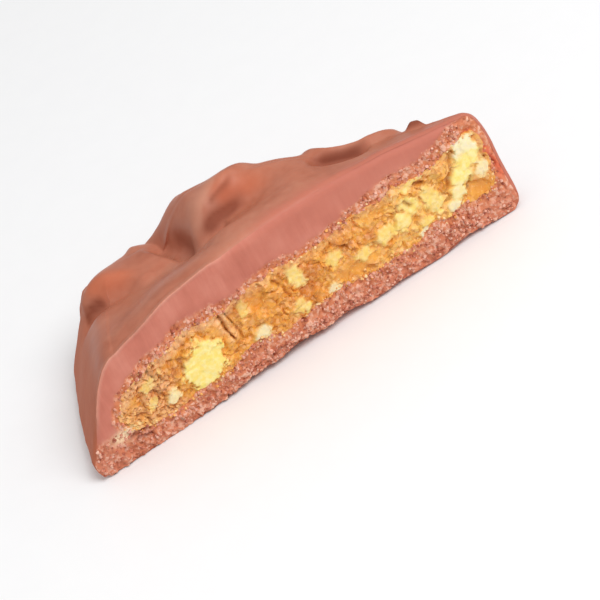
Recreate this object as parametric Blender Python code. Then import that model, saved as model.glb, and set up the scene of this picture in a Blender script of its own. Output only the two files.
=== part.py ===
"""Half of a hand-dipped english toffee bar, cut lengthwise and a little askew.

Two solids in metres, +Z up: a milk chocolate coat, lying on its flat base with the cut facing -Y,
and the slab of brittle toffee that runs through it and shows in the cut. The coat and the slab are
boxes of evenly divided faces. Their sides follow an outline in plan that moves inwards with height,
their tops follow a height over the plan, and the drips and folds of the dipping are raised along
paths drawn over the unrolled skin. Plan places are measured from the cut's lower left corner, with
X along the cut and Y behind it.
"""

import math
from dataclasses import dataclass

import bmesh
import bpy
import numpy as np
from mathutils import Vector, noise

COLLECTION = "english_toffee"

# The plan: the cut runs along X, the end wall and the back wall stand askew to it
CUT_LEFT = -0.0012
CUT_RIGHT = 0.0466
END_SKEW = math.radians(17.0)
BACK_SKEW = math.radians(25.0)
RIGHT_SKEW = math.radians(10.0)
END_WALL = 0.0234
LEFT_ROUND = 0.0095
RIGHT_ROUND = 0.0026
ROUND_SHARE = 0.8
ROUND_LOSS = 0.5
END_BOW = 0.0005
BACK_BOW = 0.0011
BACK_WALL = 0.0450

# The walls: how far each leans in on its way up, and how far its shoulder reaches in
NOMINAL_HEIGHT = 0.0125
FOOT_SHARE = 0.18
WALL_SHARE = 0.62
FOOT_LEVEL = 0.2
SHOULDER_LEVEL = 0.45
FOOT_TUCK = 0.0011
FOOT_BEND = 0.3
SHOULDER_SHARE = 0.6
END_LEAN = 0.0028
END_SHOULDER = 0.0037
BACK_LEAN = 0.0012
BACK_SHOULDER_LEFT = 0.0040
BACK_SHOULDER_RIGHT = 0.0019
RIGHT_LEAN = 0.0003
RIGHT_SHOULDER = 0.0019

# Height of the top along the cut, as (x, height)
CUT_TOP = (
    (-0.0010, 0.0106), (0.0043, 0.0111), (0.0066, 0.0118), (0.0090, 0.0125), (0.0120, 0.0134),
    (0.0150, 0.0138), (0.0205, 0.0142), (0.0330, 0.0142), (0.0360, 0.0140), (0.0390, 0.0135),
    (0.0430, 0.0127), (0.0470, 0.0121),
)

# The first lobe is low behind the cut, and the second rises from it along a fold
LOW_LOBE = 0.0100
LOW_LOBE_FROM = 0.0010
LOW_LOBE_RUN = 0.0085
FOLD = (
    (0.0196, -0.0010), (0.0186, 0.0035), (0.0174, 0.0077), (0.0163, 0.0107), (0.0157, 0.0142),
    (0.0154, 0.0190), (0.0154, 0.0240),
)
FOLD_WIDTH_FRONT = 0.0034
FOLD_WIDTH_BACK = 0.0054
FOLD_WIDENS_FROM = 0.30
FOLD_WIDENS_OVER = 0.35
FOLD_STEEPNESS = 1.8

# Towards the right end the top falls away behind the cut
RIGHT_FALL = 0.34
RIGHT_FALL_FROM = 0.0275
RIGHT_FALL_RUN = 0.0080

# Round swells of the top: (x, y, radius along X, radius along Y, height)
SWELLS = (
    (0.0088, 0.0125, 0.0042, 0.0035, 0.0006),
    (0.0236, 0.0102, 0.0046, 0.0036, 0.0006),
)


@dataclass(frozen=True)
class Ridge:
    """A drip, fold or furrow along a path over the unrolled skin, in metres."""

    height: float
    left_width: float
    right_width: float
    path: tuple
    rise: float = 0.15
    fall: float = 0.15


RIDGES = (
    # The second lobe's hooked crest, over the back and down the wall
    Ridge(0.0006, 0.0020, 0.0008,
          ((0.0178, 0.0040), (0.0186, 0.0055), (0.0198, 0.0068), (0.0214, 0.0078), (0.0234, 0.0090),
           (0.0254, 0.0108), (0.0270, 0.0140), (0.0282, 0.0175), (0.0286, 0.0205)), fall=0.05),
    # The hollow under it
    Ridge(-0.0021, 0.0012, 0.0024,
          ((0.0186, 0.0046), (0.0196, 0.0059), (0.0210, 0.0067), (0.0228, 0.0068), (0.0246, 0.0064),
           (0.0266, 0.0058), (0.0294, 0.0050)), 0.15, 0.55),
    # The first lobe's crest and the furrow in front of it
    Ridge(0.0006, 0.0020, 0.0009,
          ((0.0048, 0.0126), (0.0072, 0.0126), (0.0098, 0.0120), (0.0118, 0.0102), (0.0132, 0.0076))),
    Ridge(-0.0017, 0.0010, 0.0010,
          ((0.0026, 0.0142), (0.0038, 0.0122), (0.0052, 0.0109), (0.0068, 0.0104), (0.0088, 0.0100),
           (0.0106, 0.0092), (0.0122, 0.0074)), 0.55, 0.55),
    # The crease at the fold's foot and the first lobe's rim along it
    Ridge(-0.0008, 0.0008, 0.0010,
          ((0.0183, 0.0062), (0.0172, 0.0082), (0.0164, 0.0102), (0.0157, 0.0124), (0.0150, 0.0150)), 0.35, 0.35),
    Ridge(0.0005, 0.0013, 0.0007,
          ((0.0169, 0.0066), (0.0159, 0.0088), (0.0150, 0.0108), (0.0141, 0.0128), (0.0132, 0.0152)), 0.4, 0.4),
    # A curl behind the top on the right, and the valley inside it
    Ridge(0.0007, 0.0008, 0.0007,
          ((0.0308, 0.0120), (0.0314, 0.0090), (0.0328, 0.0070), (0.0346, 0.0061), (0.0368, 0.0056),
           (0.0388, 0.0060), (0.0398, 0.0090)), 0.15, 0.2),
    Ridge(-0.0012, 0.0009, 0.0007,
          ((0.0306, 0.0064), (0.0322, 0.0051), (0.0342, 0.0044), (0.0366, 0.0042)), 0.3, 0.25),
    # A small knob behind the top near the right end
    Ridge(0.0007, 0.0009, 0.0009, ((0.0397, 0.0045), (0.0421, 0.0042)), 0.4, 0.4),
    # Drips down the back and the right end
    Ridge(0.0007, 0.0018, 0.0009, ((0.0196, 0.0130), (0.0202, 0.0170), (0.0226, 0.0208), (0.0238, 0.0235)), fall=0.05),
    Ridge(0.0006, 0.0009, 0.0016, ((0.0138, 0.0140), (0.0130, 0.0180), (0.0142, 0.0222), (0.0150, 0.0245)), fall=0.06),
    Ridge(0.0006, 0.0009, 0.0016, ((0.0076, 0.0150), (0.0054, 0.0190), (0.0050, 0.0235)), fall=0.06),
    Ridge(0.0004, 0.0010, 0.0010, ((0.0430, 0.0050), (0.0437, 0.0082), (0.0440, 0.0115)), fall=0.08),
)
WAVE_HEIGHT = 0.00022
WAVE_LENGTH = 0.0075
BOW_TOP = 0.9
PROBE = 0.0002

# The toffee slab: its plan inside the coat's, and its lower and upper edges along the cut
TOFFEE_END = 0.0040
TOFFEE_END_SLANT = 0.0026
TOFFEE_RIGHT = 0.0014
TOFFEE_BACK_LEFT = 0.0036
TOFFEE_BACK_RIGHT = 0.0017
TOFFEE_BACK_SLANT = 0.0024
TOFFEE_SLANT_FROM = 0.35
TOFFEE_SLANT_BEND = 1.3
TOFFEE_EDGE = 0.0010
TOFFEE_EDGE_BACK_RIGHT = 0.3
TOFFEE_EDGE_RIGHT = 0.6
TOFFEE_BACK_HEIGHT = 0.0083
TOFFEE_BACK_FROM = 0.0020
TOFFEE_BACK_RUN = 0.0060
TOFFEE_ROUNDS = (0.0055, 0.0006)
TOFFEE_LOW = (
    (0.0030, 0.0036), (0.0052, 0.0027), (0.0085, 0.0021), (0.0110, 0.0025), (0.0138, 0.0026),
    (0.0173, 0.0038), (0.0208, 0.0031), (0.0245, 0.0034), (0.0280, 0.0034), (0.0330, 0.0031),
    (0.0385, 0.0038), (0.0460, 0.0035),
)
TOFFEE_HIGH = (
    (0.0030, 0.0070), (0.0062, 0.0079), (0.0092, 0.0084), (0.0118, 0.0093), (0.0150, 0.0087),
    (0.0195, 0.0096), (0.0250, 0.0092), (0.0300, 0.0095), (0.0345, 0.0099), (0.0400, 0.0096),
    (0.0436, 0.0107), (0.0460, 0.0100),
)
GAP = 0.00035
CRUMB_SIZE = 0.0016
CRUMB_RELIEF = 0.00090
CRUMB_MIDDLE = 0.45
CRUMB_FADE = 0.06
POCKET_REACH = 0.0030

# Pale sugar lumps that stand out of the toffee: (x, z, radius along X, radius along Z)
LUMPS = (
    (0.0125, 0.0054, 0.0019, 0.0019), (0.0436, 0.0090, 0.0010, 0.0013), (0.0426, 0.0076, 0.0012, 0.0012),
    (0.0414, 0.0061, 0.0011, 0.0012), (0.0441, 0.0065, 0.0008, 0.0011), (0.0384, 0.0067, 0.0011, 0.0017),
    (0.0356, 0.0068, 0.0012, 0.0011), (0.0331, 0.0058, 0.0012, 0.0010), (0.0304, 0.0055, 0.0010, 0.0009),
    (0.0277, 0.0069, 0.0010, 0.0010), (0.0238, 0.0073, 0.0010, 0.0013), (0.0184, 0.0075, 0.0009, 0.0010),
    (0.0068, 0.0052, 0.0013, 0.0011),
)
LUMP_SINK = 0.0004
LUMP_DEPTH = 0.0010
LUMP_SQUARENESS = 4.0
LUMP_SIZE = 0.9
LUMP_CRAGS = 0.34
LUMP_FACETS = 1.3
LUMP_SHIFT = Vector((3.7, 0.0, 1.9))

# How finely the faces are divided along X, Y and Z, and half a rounded corner in plan
COAT_GRID = (80, 24, 15)
TOFFEE_GRID = (52, 4, 9)
HALF_TURN = 8

# Faces within this of the cut or the base are flat, and join below this angle
FLAT = 1e-7
JOIN_ANGLE = 0.01

CHOCOLATE_COLOUR = (0.353, 0.135, 0.079, 1.0)
CHOCOLATE_ROUGHNESS = 0.42
TOFFEE_COLOUR = (0.708, 0.323, 0.058, 1.0)
TOFFEE_ROUGHNESS = 0.38


def clear_scene():
    """Removes every object of the scene the script starts in."""
    for thing in list(bpy.data.objects):
        bpy.data.objects.remove(thing, do_unlink=True)


def material(name, colour, roughness):
    """A plain opaque food finish."""
    finish = bpy.data.materials.new(name)
    finish.use_nodes = True
    shader = finish.node_tree.nodes["Principled BSDF"]
    shader.inputs["Base Color"].default_value = colour
    shader.inputs["Roughness"].default_value = roughness
    shader.inputs["Metallic"].default_value = 0.0
    finish.diffuse_color = colour
    return finish


def smooth(share):
    """An S curve from 0 to 1."""
    share = np.clip(share, 0.0, 1.0)
    return share * share * (3.0 - 2.0 * share)


def through(stations, x):
    """Height at x of a smooth curve through (place, height) stations."""
    places, heights = np.array(stations).T
    slopes = np.gradient(heights, places)
    x = np.clip(x, places[0], places[-1])
    left = np.clip(np.searchsorted(places, x) - 1, 0, len(places) - 2)
    span = places[left + 1] - places[left]
    t = (x - places[left]) / span
    rise = smooth(t)
    bend = span * t * (1.0 - t) * ((1.0 - t) * slopes[left] - t * slopes[left + 1])
    return heights[left] * (1.0 - rise) + heights[left + 1] * rise + bend


def rounded_path(points, steps=8):
    """Points along a smooth curve through the given ones."""
    points = np.array(points)
    lengths = np.concatenate([[0.0], np.cumsum(np.linalg.norm(np.diff(points, axis=0), axis=1))])
    fine = np.linspace(0.0, lengths[-1], steps * (len(points) - 1) + 1)
    return np.stack([through(np.stack([lengths, points[:, axis]], 1), fine) for axis in (0, 1)], 1)


def offset_from(points, plan):
    """Signed distance from a path, positive to its right, and the share of the path at the nearest point."""
    path = rounded_path(points)
    starts, spans = path[:-1], np.diff(path, axis=0)
    away = plan[..., None, :] - starts
    share = np.clip((away * spans).sum(-1) / (spans ** 2).sum(-1), 0.0, 1.0)
    gap = away - share[..., None] * spans
    distance = np.linalg.norm(gap, axis=-1)
    nearest = distance.argmin(-1)
    chosen = np.take_along_axis(distance, nearest[..., None], -1)[..., 0]
    near_gap = np.take_along_axis(gap, nearest[..., None, None].repeat(2, -1), -2)[..., 0, :]
    span = spans[nearest]
    right = span[..., 1] * near_gap[..., 0] - span[..., 0] * near_gap[..., 1]
    along = (nearest + np.take_along_axis(share, nearest[..., None], -1)[..., 0]) / len(spans)
    return np.where(right >= 0.0, chosen, -chosen), along


def waves(points, length, seed):
    """Slow noise between about -1 and 1 at each point."""
    flat = points.reshape(-1, points.shape[-1]) / length
    shift = Vector((seed * 7.3, seed * 3.1, seed * 5.7))
    values = [noise.noise(Vector((*p, 0.0)[:3]) + shift) for p in flat]
    return np.array(values).reshape(points.shape[:-1])


def bend(start, middle, end, t):
    """A curve from start to end that leaves and arrives towards middle, and its direction."""
    t = np.asarray(t)[..., None]
    start, middle, end = (np.asarray(p, float) for p in (start, middle, end))
    place = (1 - t) ** 2 * start + 2 * t * (1 - t) * middle + t ** 2 * end
    direction = 2 * (1 - t) * (middle - start) + 2 * t * (end - middle)
    return place, direction


def wall_profile(level, lean, shoulder):
    """A wall's inset and height at a level from 0 to 1, and its outward normal as (out, up)."""
    foot = FOOT_SHARE * NOMINAL_HEIGHT
    top = WALL_SHARE * NOMINAL_HEIGHT
    slope = lean / (top - foot)
    reach = min(slope * (NOMINAL_HEIGHT - top), SHOULDER_SHARE * shoulder)
    if level < FOOT_LEVEL:
        place, way = bend((FOOT_TUCK, 0.0), (0.0, FOOT_BEND * foot), (0.0, foot), level / FOOT_LEVEL)
    elif level < SHOULDER_LEVEL:
        share = (level - FOOT_LEVEL) / (SHOULDER_LEVEL - FOOT_LEVEL)
        place = np.array((lean * share, foot + (top - foot) * share))
        way = np.array((lean, top - foot))
    else:
        place, way = bend((lean, top), (lean + reach, NOMINAL_HEIGHT), (lean + shoulder, NOMINAL_HEIGHT),
                          (level - SHOULDER_LEVEL) / (1.0 - SHOULDER_LEVEL))
    place, way = place.reshape(2), way.reshape(2)
    way = way / np.linalg.norm(way)
    return place[0], place[1] / NOMINAL_HEIGHT, way[1], way[0]


def outline(end_inset, back_left, back_right, right_inset, rounds, grid):
    """The plan's left, back, right and front edges, each as evenly spaced points."""
    end_way = np.array((math.sin(END_SKEW), math.cos(END_SKEW)))
    right_way = np.array((math.sin(RIGHT_SKEW), math.cos(RIGHT_SKEW)))
    left = np.array((CUT_LEFT + end_inset / math.cos(END_SKEW), 0.0))
    right = np.array((CUT_RIGHT - right_inset / math.cos(RIGHT_SKEW), 0.0))
    corner = np.array((CUT_LEFT, 0.0)) + END_WALL * end_way
    along = np.array((math.cos(BACK_SKEW), -math.sin(BACK_SKEW)))
    inwards = -np.array((math.sin(BACK_SKEW), math.cos(BACK_SKEW)))
    far = corner + BACK_WALL * along
    far_left = crossing(left, end_way, corner + back_left * inwards, far + back_right * inwards)
    far_right = crossing(right, right_way, corner + back_left * inwards, far + back_right * inwards)
    back_way = (far_right - far_left) / np.linalg.norm(far_right - far_left)
    turn = np.linspace(0.0, 1.0, 2 * HALF_TURN + 1)
    left_round, right_round = rounds
    right_round = min(right_round, ROUND_SHARE * np.linalg.norm(far_right - right))
    corner_left, _ = bend(far_left - left_round * end_way, far_left, far_left + left_round * back_way, turn)
    corner_right, _ = bend(far_right - right_round * back_way, far_right, far_right - right_round * right_way, turn)
    line = np.concatenate([[left], corner_left, corner_right, [right]])
    lengths = np.concatenate([[0.0], np.cumsum(np.linalg.norm(np.diff(line, axis=0), axis=1))])
    first, second = lengths[1 + HALF_TURN], lengths[2 + 3 * HALF_TURN]

    def spaced(start, end, count):
        places = np.linspace(start, end, count + 1)
        return np.stack([np.interp(places, lengths, line[:, axis]) for axis in (0, 1)], 1)

    front = np.linspace(0.0, 1.0, grid[0] + 1)[:, None]
    return (spaced(0.0, first, grid[1]), spaced(first, second, grid[0]),
            spaced(lengths[-1], second, grid[1]), left * (1 - front) + right * front)


def crossing(start, way, one, other):
    """Where the line from start along way meets the line through two points."""
    span = other - one
    normal = np.array((-span[1], span[0]))
    return start + way * ((one - start) @ normal) / (way @ normal)


def filled(left, right, low, high):
    """A sheet of points between four edges: left and right run along the second index."""
    s = np.linspace(0.0, 1.0, len(low))[:, None, None]
    t = np.linspace(0.0, 1.0, len(left))[None, :, None]
    sheet = (1 - s) * left[None] + s * right[None] + (1 - t) * low[:, None] + t * high[:, None]
    corners = ((1 - s) * (1 - t) * low[0] + s * (1 - t) * low[-1]
               + (1 - s) * t * high[0] + s * t * high[-1])
    return sheet - corners


def top_height(plan):
    """Height of the coat's top over a place in plan."""
    x, y = plan[..., 0], plan[..., 1]
    high = through(CUT_TOP, x)
    low = high + (LOW_LOBE - high) * smooth((y - LOW_LOBE_FROM) / LOW_LOBE_RUN)
    side, along = offset_from(FOLD, plan)
    wider = smooth((along - FOLD_WIDENS_FROM) / FOLD_WIDENS_OVER)
    width = FOLD_WIDTH_FRONT + (FOLD_WIDTH_BACK - FOLD_WIDTH_FRONT) * wider
    height = low + (high - low) * (1.0 - (1.0 - np.clip(side / width, 0.0, 1.0)) ** FOLD_STEEPNESS)
    height = height - RIGHT_FALL * y * smooth((x - RIGHT_FALL_FROM) / RIGHT_FALL_RUN)
    for centre_x, centre_y, radius_x, radius_y, amount in SWELLS:
        away = ((x - centre_x) / radius_x) ** 2 + ((y - centre_y) / radius_y) ** 2
        height = height + amount * np.exp(-away)
    return height


def skin_relief(plan):
    """How far drips, furrows and waves lift the skin over the unrolled plan."""
    lift = WAVE_HEIGHT * waves(plan, WAVE_LENGTH, 1)
    for ridge in RIDGES:
        side, along = offset_from(ridge.path, plan)
        width = np.where(side < 0.0, ridge.left_width, ridge.right_width)
        ends = smooth(along / ridge.rise) * smooth((1.0 - along) / ridge.fall)
        lift = lift + ridge.height * ends * np.exp(-(side / width) ** 2)
    return lift


def bare_skin(grid):
    """The coat's skin before drips and folds: places, outward normals and unrolled plan places by index."""
    nx, ny, nz = grid
    place = np.zeros((nx + 1, ny + 1, nz + 1, 3))
    normal = np.zeros_like(place)
    unrolled = np.zeros((nx + 1, ny + 1, nz + 1, 2))
    walls, rings = [], []
    for level in np.linspace(0.0, 1.0, nz + 1):
        end = wall_profile(level, END_LEAN, END_SHOULDER)
        back = wall_profile(level, BACK_LEAN, BACK_SHOULDER_LEFT)
        back_right = wall_profile(level, BACK_LEAN, BACK_SHOULDER_RIGHT)
        right = wall_profile(level, RIGHT_LEAN, RIGHT_SHOULDER)
        rounds = (LEFT_ROUND - ROUND_LOSS * end[0], RIGHT_ROUND - ROUND_LOSS * back_right[0])
        rings.append(outline(end[0], back[0], back_right[0], right[0], rounds, grid))
        walls.append((end, back, right))
    profile = np.array([(back[0], back[1] * NOMINAL_HEIGHT) for _, back, _ in walls])
    steps = np.linalg.norm(np.diff(profile, axis=0), axis=1)
    down = np.concatenate([[0.0], np.cumsum(steps[::-1])])[::-1]

    top = filled(rings[-1][0], rings[-1][2], rings[-1][3], rings[-1][1])
    top_z = top_height(top)
    widest = rings[round(FOOT_LEVEL * nz)]
    borders = (np.s_[0, :], np.s_[:, ny], np.s_[nx, :])
    for k, ring in enumerate(rings):
        for which, border in enumerate(borders):
            rim = top[border]
            out = widest[which] - rim
            out = out / np.linalg.norm(out, axis=-1, keepdims=True)
            _, height, outward, upward = walls[k][which]
            place[border + (k,)] = np.concatenate([ring[which], (height * top_z[border])[:, None]], 1)
            unrolled[border + (k,)] = rim + out * down[k]
            normal[border + (k,)] = np.concatenate([out * outward, np.full((len(out), 1), upward)], 1)
    place[:, :, nz, :2] = top
    place[:, :, nz, 2] = top_z
    place[:, 0, 0, :2] = rings[0][3]
    unrolled[:, :, nz] = top
    tilt = [(top_height(top + step) - top_z) / PROBE for step in np.eye(2) * PROBE]
    up = np.stack([-tilt[0], -tilt[1], np.ones_like(top_z)], -1)
    normal[:, :, nz] = up / np.linalg.norm(up, axis=-1, keepdims=True)
    return place, normal, unrolled


def coat_places(grid):
    """Every surface point of the coat, by its three indices in the divided box."""
    nx, ny, nz = grid
    place, normal, unrolled = bare_skin(grid)
    skin = np.zeros(place.shape[:3], bool)
    skin[0], skin[nx], skin[:, ny], skin[:, :, nz] = True, True, True, True
    u, v, level = np.meshgrid(*(np.linspace(0.0, 1.0, count + 1) for count in grid), indexing="ij")
    u, v, level = u[skin], v[skin], level[skin]
    body = np.sin(np.pi * np.clip(level / BOW_TOP, 0.0, 1.0))
    bow = END_BOW * (u == 0) * np.sin(np.pi * v) + BACK_BOW * (v == 1) * np.sin(np.pi * u)
    lift = (skin_relief(unrolled[skin]) + bow * body) * smooth(level / FOOT_LEVEL)
    place[skin] += normal[skin] * lift[:, None]
    place[:, 0, :, 1] = 0.0
    place[:, :, 0, 2] = 0.0
    place[:, 0] = filled(place[0, 0], place[nx, 0], place[:, 0, 0], place[:, 0, nz])
    place[:, :, 0] = filled(place[0, :, 0], place[nx, :, 0], place[:, 0, 0], place[:, ny, 0])
    return place


def toffee_places(grid, grow, crags):
    """Every surface point of the toffee slab, grown by some amount all round, with crags on its front face."""
    nx, ny, nz = grid
    place = np.zeros((nx + 1, ny + 1, nz + 1, 3))
    for k, level in enumerate(np.linspace(0.0, 1.0, nz + 1)):
        edge = TOFFEE_EDGE * (1.0 - math.sin(math.pi * level)) ** 2
        slant = max(0.0, level - TOFFEE_SLANT_FROM) ** TOFFEE_SLANT_BEND
        left, back, right, low = outline(
            TOFFEE_END + edge + TOFFEE_END_SLANT * slant - grow,
            TOFFEE_BACK_LEFT + edge + TOFFEE_BACK_SLANT * slant - grow,
            TOFFEE_BACK_RIGHT + TOFFEE_EDGE_BACK_RIGHT * edge + TOFFEE_BACK_SLANT * slant - grow,
            TOFFEE_RIGHT + TOFFEE_EDGE_RIGHT * edge - grow,
            TOFFEE_ROUNDS, grid)
        sheet = filled(left, right, low, back)
        bottom = through(TOFFEE_LOW, sheet[..., 0]) - grow
        high = through(TOFFEE_HIGH, sheet[..., 0])
        behind = smooth((sheet[..., 1] - TOFFEE_BACK_FROM) / TOFFEE_BACK_RUN)
        top = high + (TOFFEE_BACK_HEIGHT - high) * behind + grow
        place[:, :, k, :2] = sheet
        place[:, :, k, 2] = bottom + (top - bottom) * level
    if crags:
        face = place[:, 0]
        cells = [noise.voronoi(Vector(p) / CRUMB_SIZE)[0][0] for p in face.reshape(-1, 3)]
        relief = np.array(cells).reshape(nx + 1, nz + 1) - CRUMB_MIDDLE
        u = np.linspace(0.0, 1.0, nx + 1)[:, None]
        face[..., 1] += crags * smooth(np.minimum(u, 1.0 - u) / CRUMB_FADE) * relief
    return place


def divided_box(name, grid, places, finish, collection):
    """A cube divided evenly along each axis, its points moved to the given places."""
    shape = bmesh.new()
    bmesh.ops.create_cube(shape, size=1.0)
    for axis, count in enumerate(grid):
        edges = [e for e in shape.edges if abs((e.verts[0].co - e.verts[1].co)[axis]) > 0.5]
        bmesh.ops.subdivide_edges(shape, edges=edges, cuts=count - 1, use_grid_fill=True)
    for point in shape.verts:
        i, j, k = (round((point.co[axis] + 0.5) * grid[axis]) for axis in range(3))
        point.co = places[i, j, k]
    bmesh.ops.recalc_face_normals(shape, faces=shape.faces)
    mesh = bpy.data.meshes.new(name)
    shape.to_mesh(mesh)
    shape.free()
    mesh.materials.append(finish)
    thing = bpy.data.objects.new(name, mesh)
    collection.objects.link(thing)
    return thing


def evaluated_mesh(thing):
    """The mesh of an object with its modifiers applied."""
    graph = bpy.context.evaluated_depsgraph_get()
    return bpy.data.meshes.new_from_object(thing.evaluated_get(graph))


def apply_modifiers(thing):
    """Replaces an object's mesh by its modified one."""
    mesh = evaluated_mesh(thing)
    thing.modifiers.clear()
    thing.data = mesh


def flatten_planes(thing):
    """Joins the small faces of the flat cut and the flat base into large ones."""
    shape = bmesh.new()
    shape.from_mesh(thing.data)
    for axis in (1, 2):
        flat = [f for f in shape.faces if all(abs(p.co[axis]) < FLAT for p in f.verts)]
        edges = {e for f in flat for e in f.edges if all(g in flat for g in e.link_faces)}
        points = {p for f in flat for p in f.verts}
        bmesh.ops.dissolve_limit(shape, angle_limit=JOIN_ANGLE, verts=list(points), edges=list(edges))
    bmesh.ops.triangulate(shape, faces=shape.faces)
    shape.to_mesh(thing.data)
    shape.free()


def cut_pocket(coat, collection):
    """Cuts the toffee's hollow into the coat, open at the cut face."""
    pocket = toffee_places(TOFFEE_GRID, GAP, 0.0)
    mouth = pocket[:, :1] - (0.0, POCKET_REACH, 0.0)
    nx, ny, nz = TOFFEE_GRID
    cutter = divided_box("toffee_pocket", (nx, ny + 1, nz), np.concatenate([mouth, pocket], 1),
                         coat.data.materials[0], collection)
    cutter.hide_render = True
    cutter.display_type = "WIRE"
    cut = coat.modifiers.new("pocket", "BOOLEAN")
    cut.operation = "DIFFERENCE"
    cut.solver = "EXACT"
    cut.object = cutter
    apply_modifiers(coat)


def sugar_lump(index, lump, finish, collection):
    """One craggy pale lump, half sunk in the toffee's face."""
    x, z, radius_x, radius_z = lump
    shape = bmesh.new()
    bmesh.ops.create_icosphere(shape, subdivisions=2, radius=1.0)
    for point in shape.verts:
        blocky = sum(abs(c) ** LUMP_SQUARENESS for c in point.co) ** (-1.0 / LUMP_SQUARENESS)
        cell = noise.voronoi(point.co * LUMP_FACETS + LUMP_SHIFT * index)[0][0]
        swell = blocky * (LUMP_SIZE + LUMP_CRAGS * (cell - 0.5))
        point.co = Vector((x + radius_x * swell * point.co.x, LUMP_SINK + LUMP_DEPTH * swell * point.co.y,
                           z + radius_z * swell * point.co.z))
    mesh = bpy.data.meshes.new("sugar_lump")
    shape.to_mesh(mesh)
    shape.free()
    mesh.materials.append(finish)
    thing = bpy.data.objects.new("sugar_lump", mesh)
    collection.objects.link(thing)
    return thing


def fuse_lumps(toffee, finish):
    """Joins the sugar lumps to the toffee with one union, and removes their objects."""
    pile = bpy.data.collections.new("sugar_lumps")
    bpy.context.scene.collection.children.link(pile)
    lumps = [sugar_lump(index, lump, finish, pile) for index, lump in enumerate(LUMPS)]
    join = toffee.modifiers.new("lumps", "BOOLEAN")
    join.operation = "UNION"
    join.solver = "MANIFOLD"
    join.operand_type = "COLLECTION"
    join.collection = pile
    bpy.context.view_layer.update()
    apply_modifiers(toffee)
    for lump in lumps:
        bpy.data.objects.remove(lump, do_unlink=True)
    bpy.data.collections.remove(pile)


def centre_on_base(things):
    """Moves the meshes so that the middle of the whole's base is the origin."""
    points = np.array([p.co for thing in things for p in thing.data.vertices])
    low, high = points.min(0), points.max(0)
    shift = Vector((-(low[0] + high[0]) / 2, -(low[1] + high[1]) / 2, -low[2]))
    for thing in things:
        for point in thing.data.vertices:
            point.co += shift
        thing.data.update()


def main():
    """Builds the coat and the toffee slab."""
    clear_scene()
    parts = bpy.data.collections.new(COLLECTION)
    cutters = bpy.data.collections.new(COLLECTION + "_cutters")
    for collection in (parts, cutters):
        bpy.context.scene.collection.children.link(collection)
    chocolate = material("milk_chocolate", CHOCOLATE_COLOUR, CHOCOLATE_ROUGHNESS)
    brittle = material("brittle_toffee", TOFFEE_COLOUR, TOFFEE_ROUGHNESS)
    coat = divided_box("chocolate_coat", COAT_GRID, coat_places(COAT_GRID), chocolate, parts)
    flatten_planes(coat)
    cut_pocket(coat, cutters)
    toffee = divided_box("toffee_core", TOFFEE_GRID, toffee_places(TOFFEE_GRID, 0.0, CRUMB_RELIEF),
                         brittle, parts)
    fuse_lumps(toffee, brittle)
    centre_on_base((coat, toffee))


if __name__ == "__main__":
    main()
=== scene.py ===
"""Looks of half a hand-dipped english toffee bar, cut lengthwise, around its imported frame.

Shapes are worked out in millimetres in the piece's own layout: X along the cut from its lower left
corner, Y behind the cut and Z up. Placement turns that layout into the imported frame, in metres.
"""

import logging
import math
from dataclasses import dataclass, replace
from enum import Enum

import bmesh
import bpy
import numpy as np
from mathutils import Matrix, Vector, noise


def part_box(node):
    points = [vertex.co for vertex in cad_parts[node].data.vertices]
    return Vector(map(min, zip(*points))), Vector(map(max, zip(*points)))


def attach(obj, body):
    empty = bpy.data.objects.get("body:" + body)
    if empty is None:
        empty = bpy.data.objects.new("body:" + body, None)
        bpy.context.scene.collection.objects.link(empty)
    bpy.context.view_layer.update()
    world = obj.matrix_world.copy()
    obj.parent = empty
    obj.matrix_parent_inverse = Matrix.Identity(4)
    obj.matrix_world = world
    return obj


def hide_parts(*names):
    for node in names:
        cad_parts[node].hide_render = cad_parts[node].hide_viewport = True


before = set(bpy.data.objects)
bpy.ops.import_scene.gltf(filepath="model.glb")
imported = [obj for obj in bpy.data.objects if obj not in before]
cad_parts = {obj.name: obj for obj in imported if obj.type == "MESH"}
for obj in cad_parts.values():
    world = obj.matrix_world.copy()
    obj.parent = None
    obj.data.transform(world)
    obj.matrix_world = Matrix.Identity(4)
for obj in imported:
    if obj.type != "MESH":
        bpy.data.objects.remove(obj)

MM = 0.001
# Points this close to the cut plane, in millimetres, lie on the cut face.
FRONT_GAP = 1e-3
TONE_SEED = 17
LOG = logging.getLogger("english_toffee")
Array = np.ndarray
Thing = bpy.types.Object


class Coat(Enum):
    """The two finishes of the coat, in the order of its material slots."""

    SKIN = 0
    CUT = 1


def smooth(share: Array) -> Array:
    """An S curve from 0 to 1."""
    share = np.clip(share, 0.0, 1.0)
    return share * share * (3.0 - 2.0 * share)


def fading(distance: Array, reach: float) -> Array:
    """1 at no distance, falling evenly to 0 at the reach."""
    return np.clip(1.0 - distance / reach, 0.0, 1.0)


@dataclass(frozen=True)
class Ramp:
    """An S curve that leaves 0 at its start and comes to 1 after its run, which may be negative."""

    start: float
    run: float

    def share(self, x: Array, shift: Array | float = 0.0) -> Array:
        """The share from 0 to 1 at each place, with the ramp's share shifted first."""
        return smooth((x - self.start) / self.run + shift)


@dataclass(frozen=True)
class Span:
    """A stretch from its start to its end, with an S curve at both."""

    start: float
    run_in: float
    end: float
    run_out: float

    def share(self, x: Array) -> Array:
        """The share from 0 to 1 at each place."""
        return smooth((x - self.start) / self.run_in) * smooth((self.end - x) / self.run_out)


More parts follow.
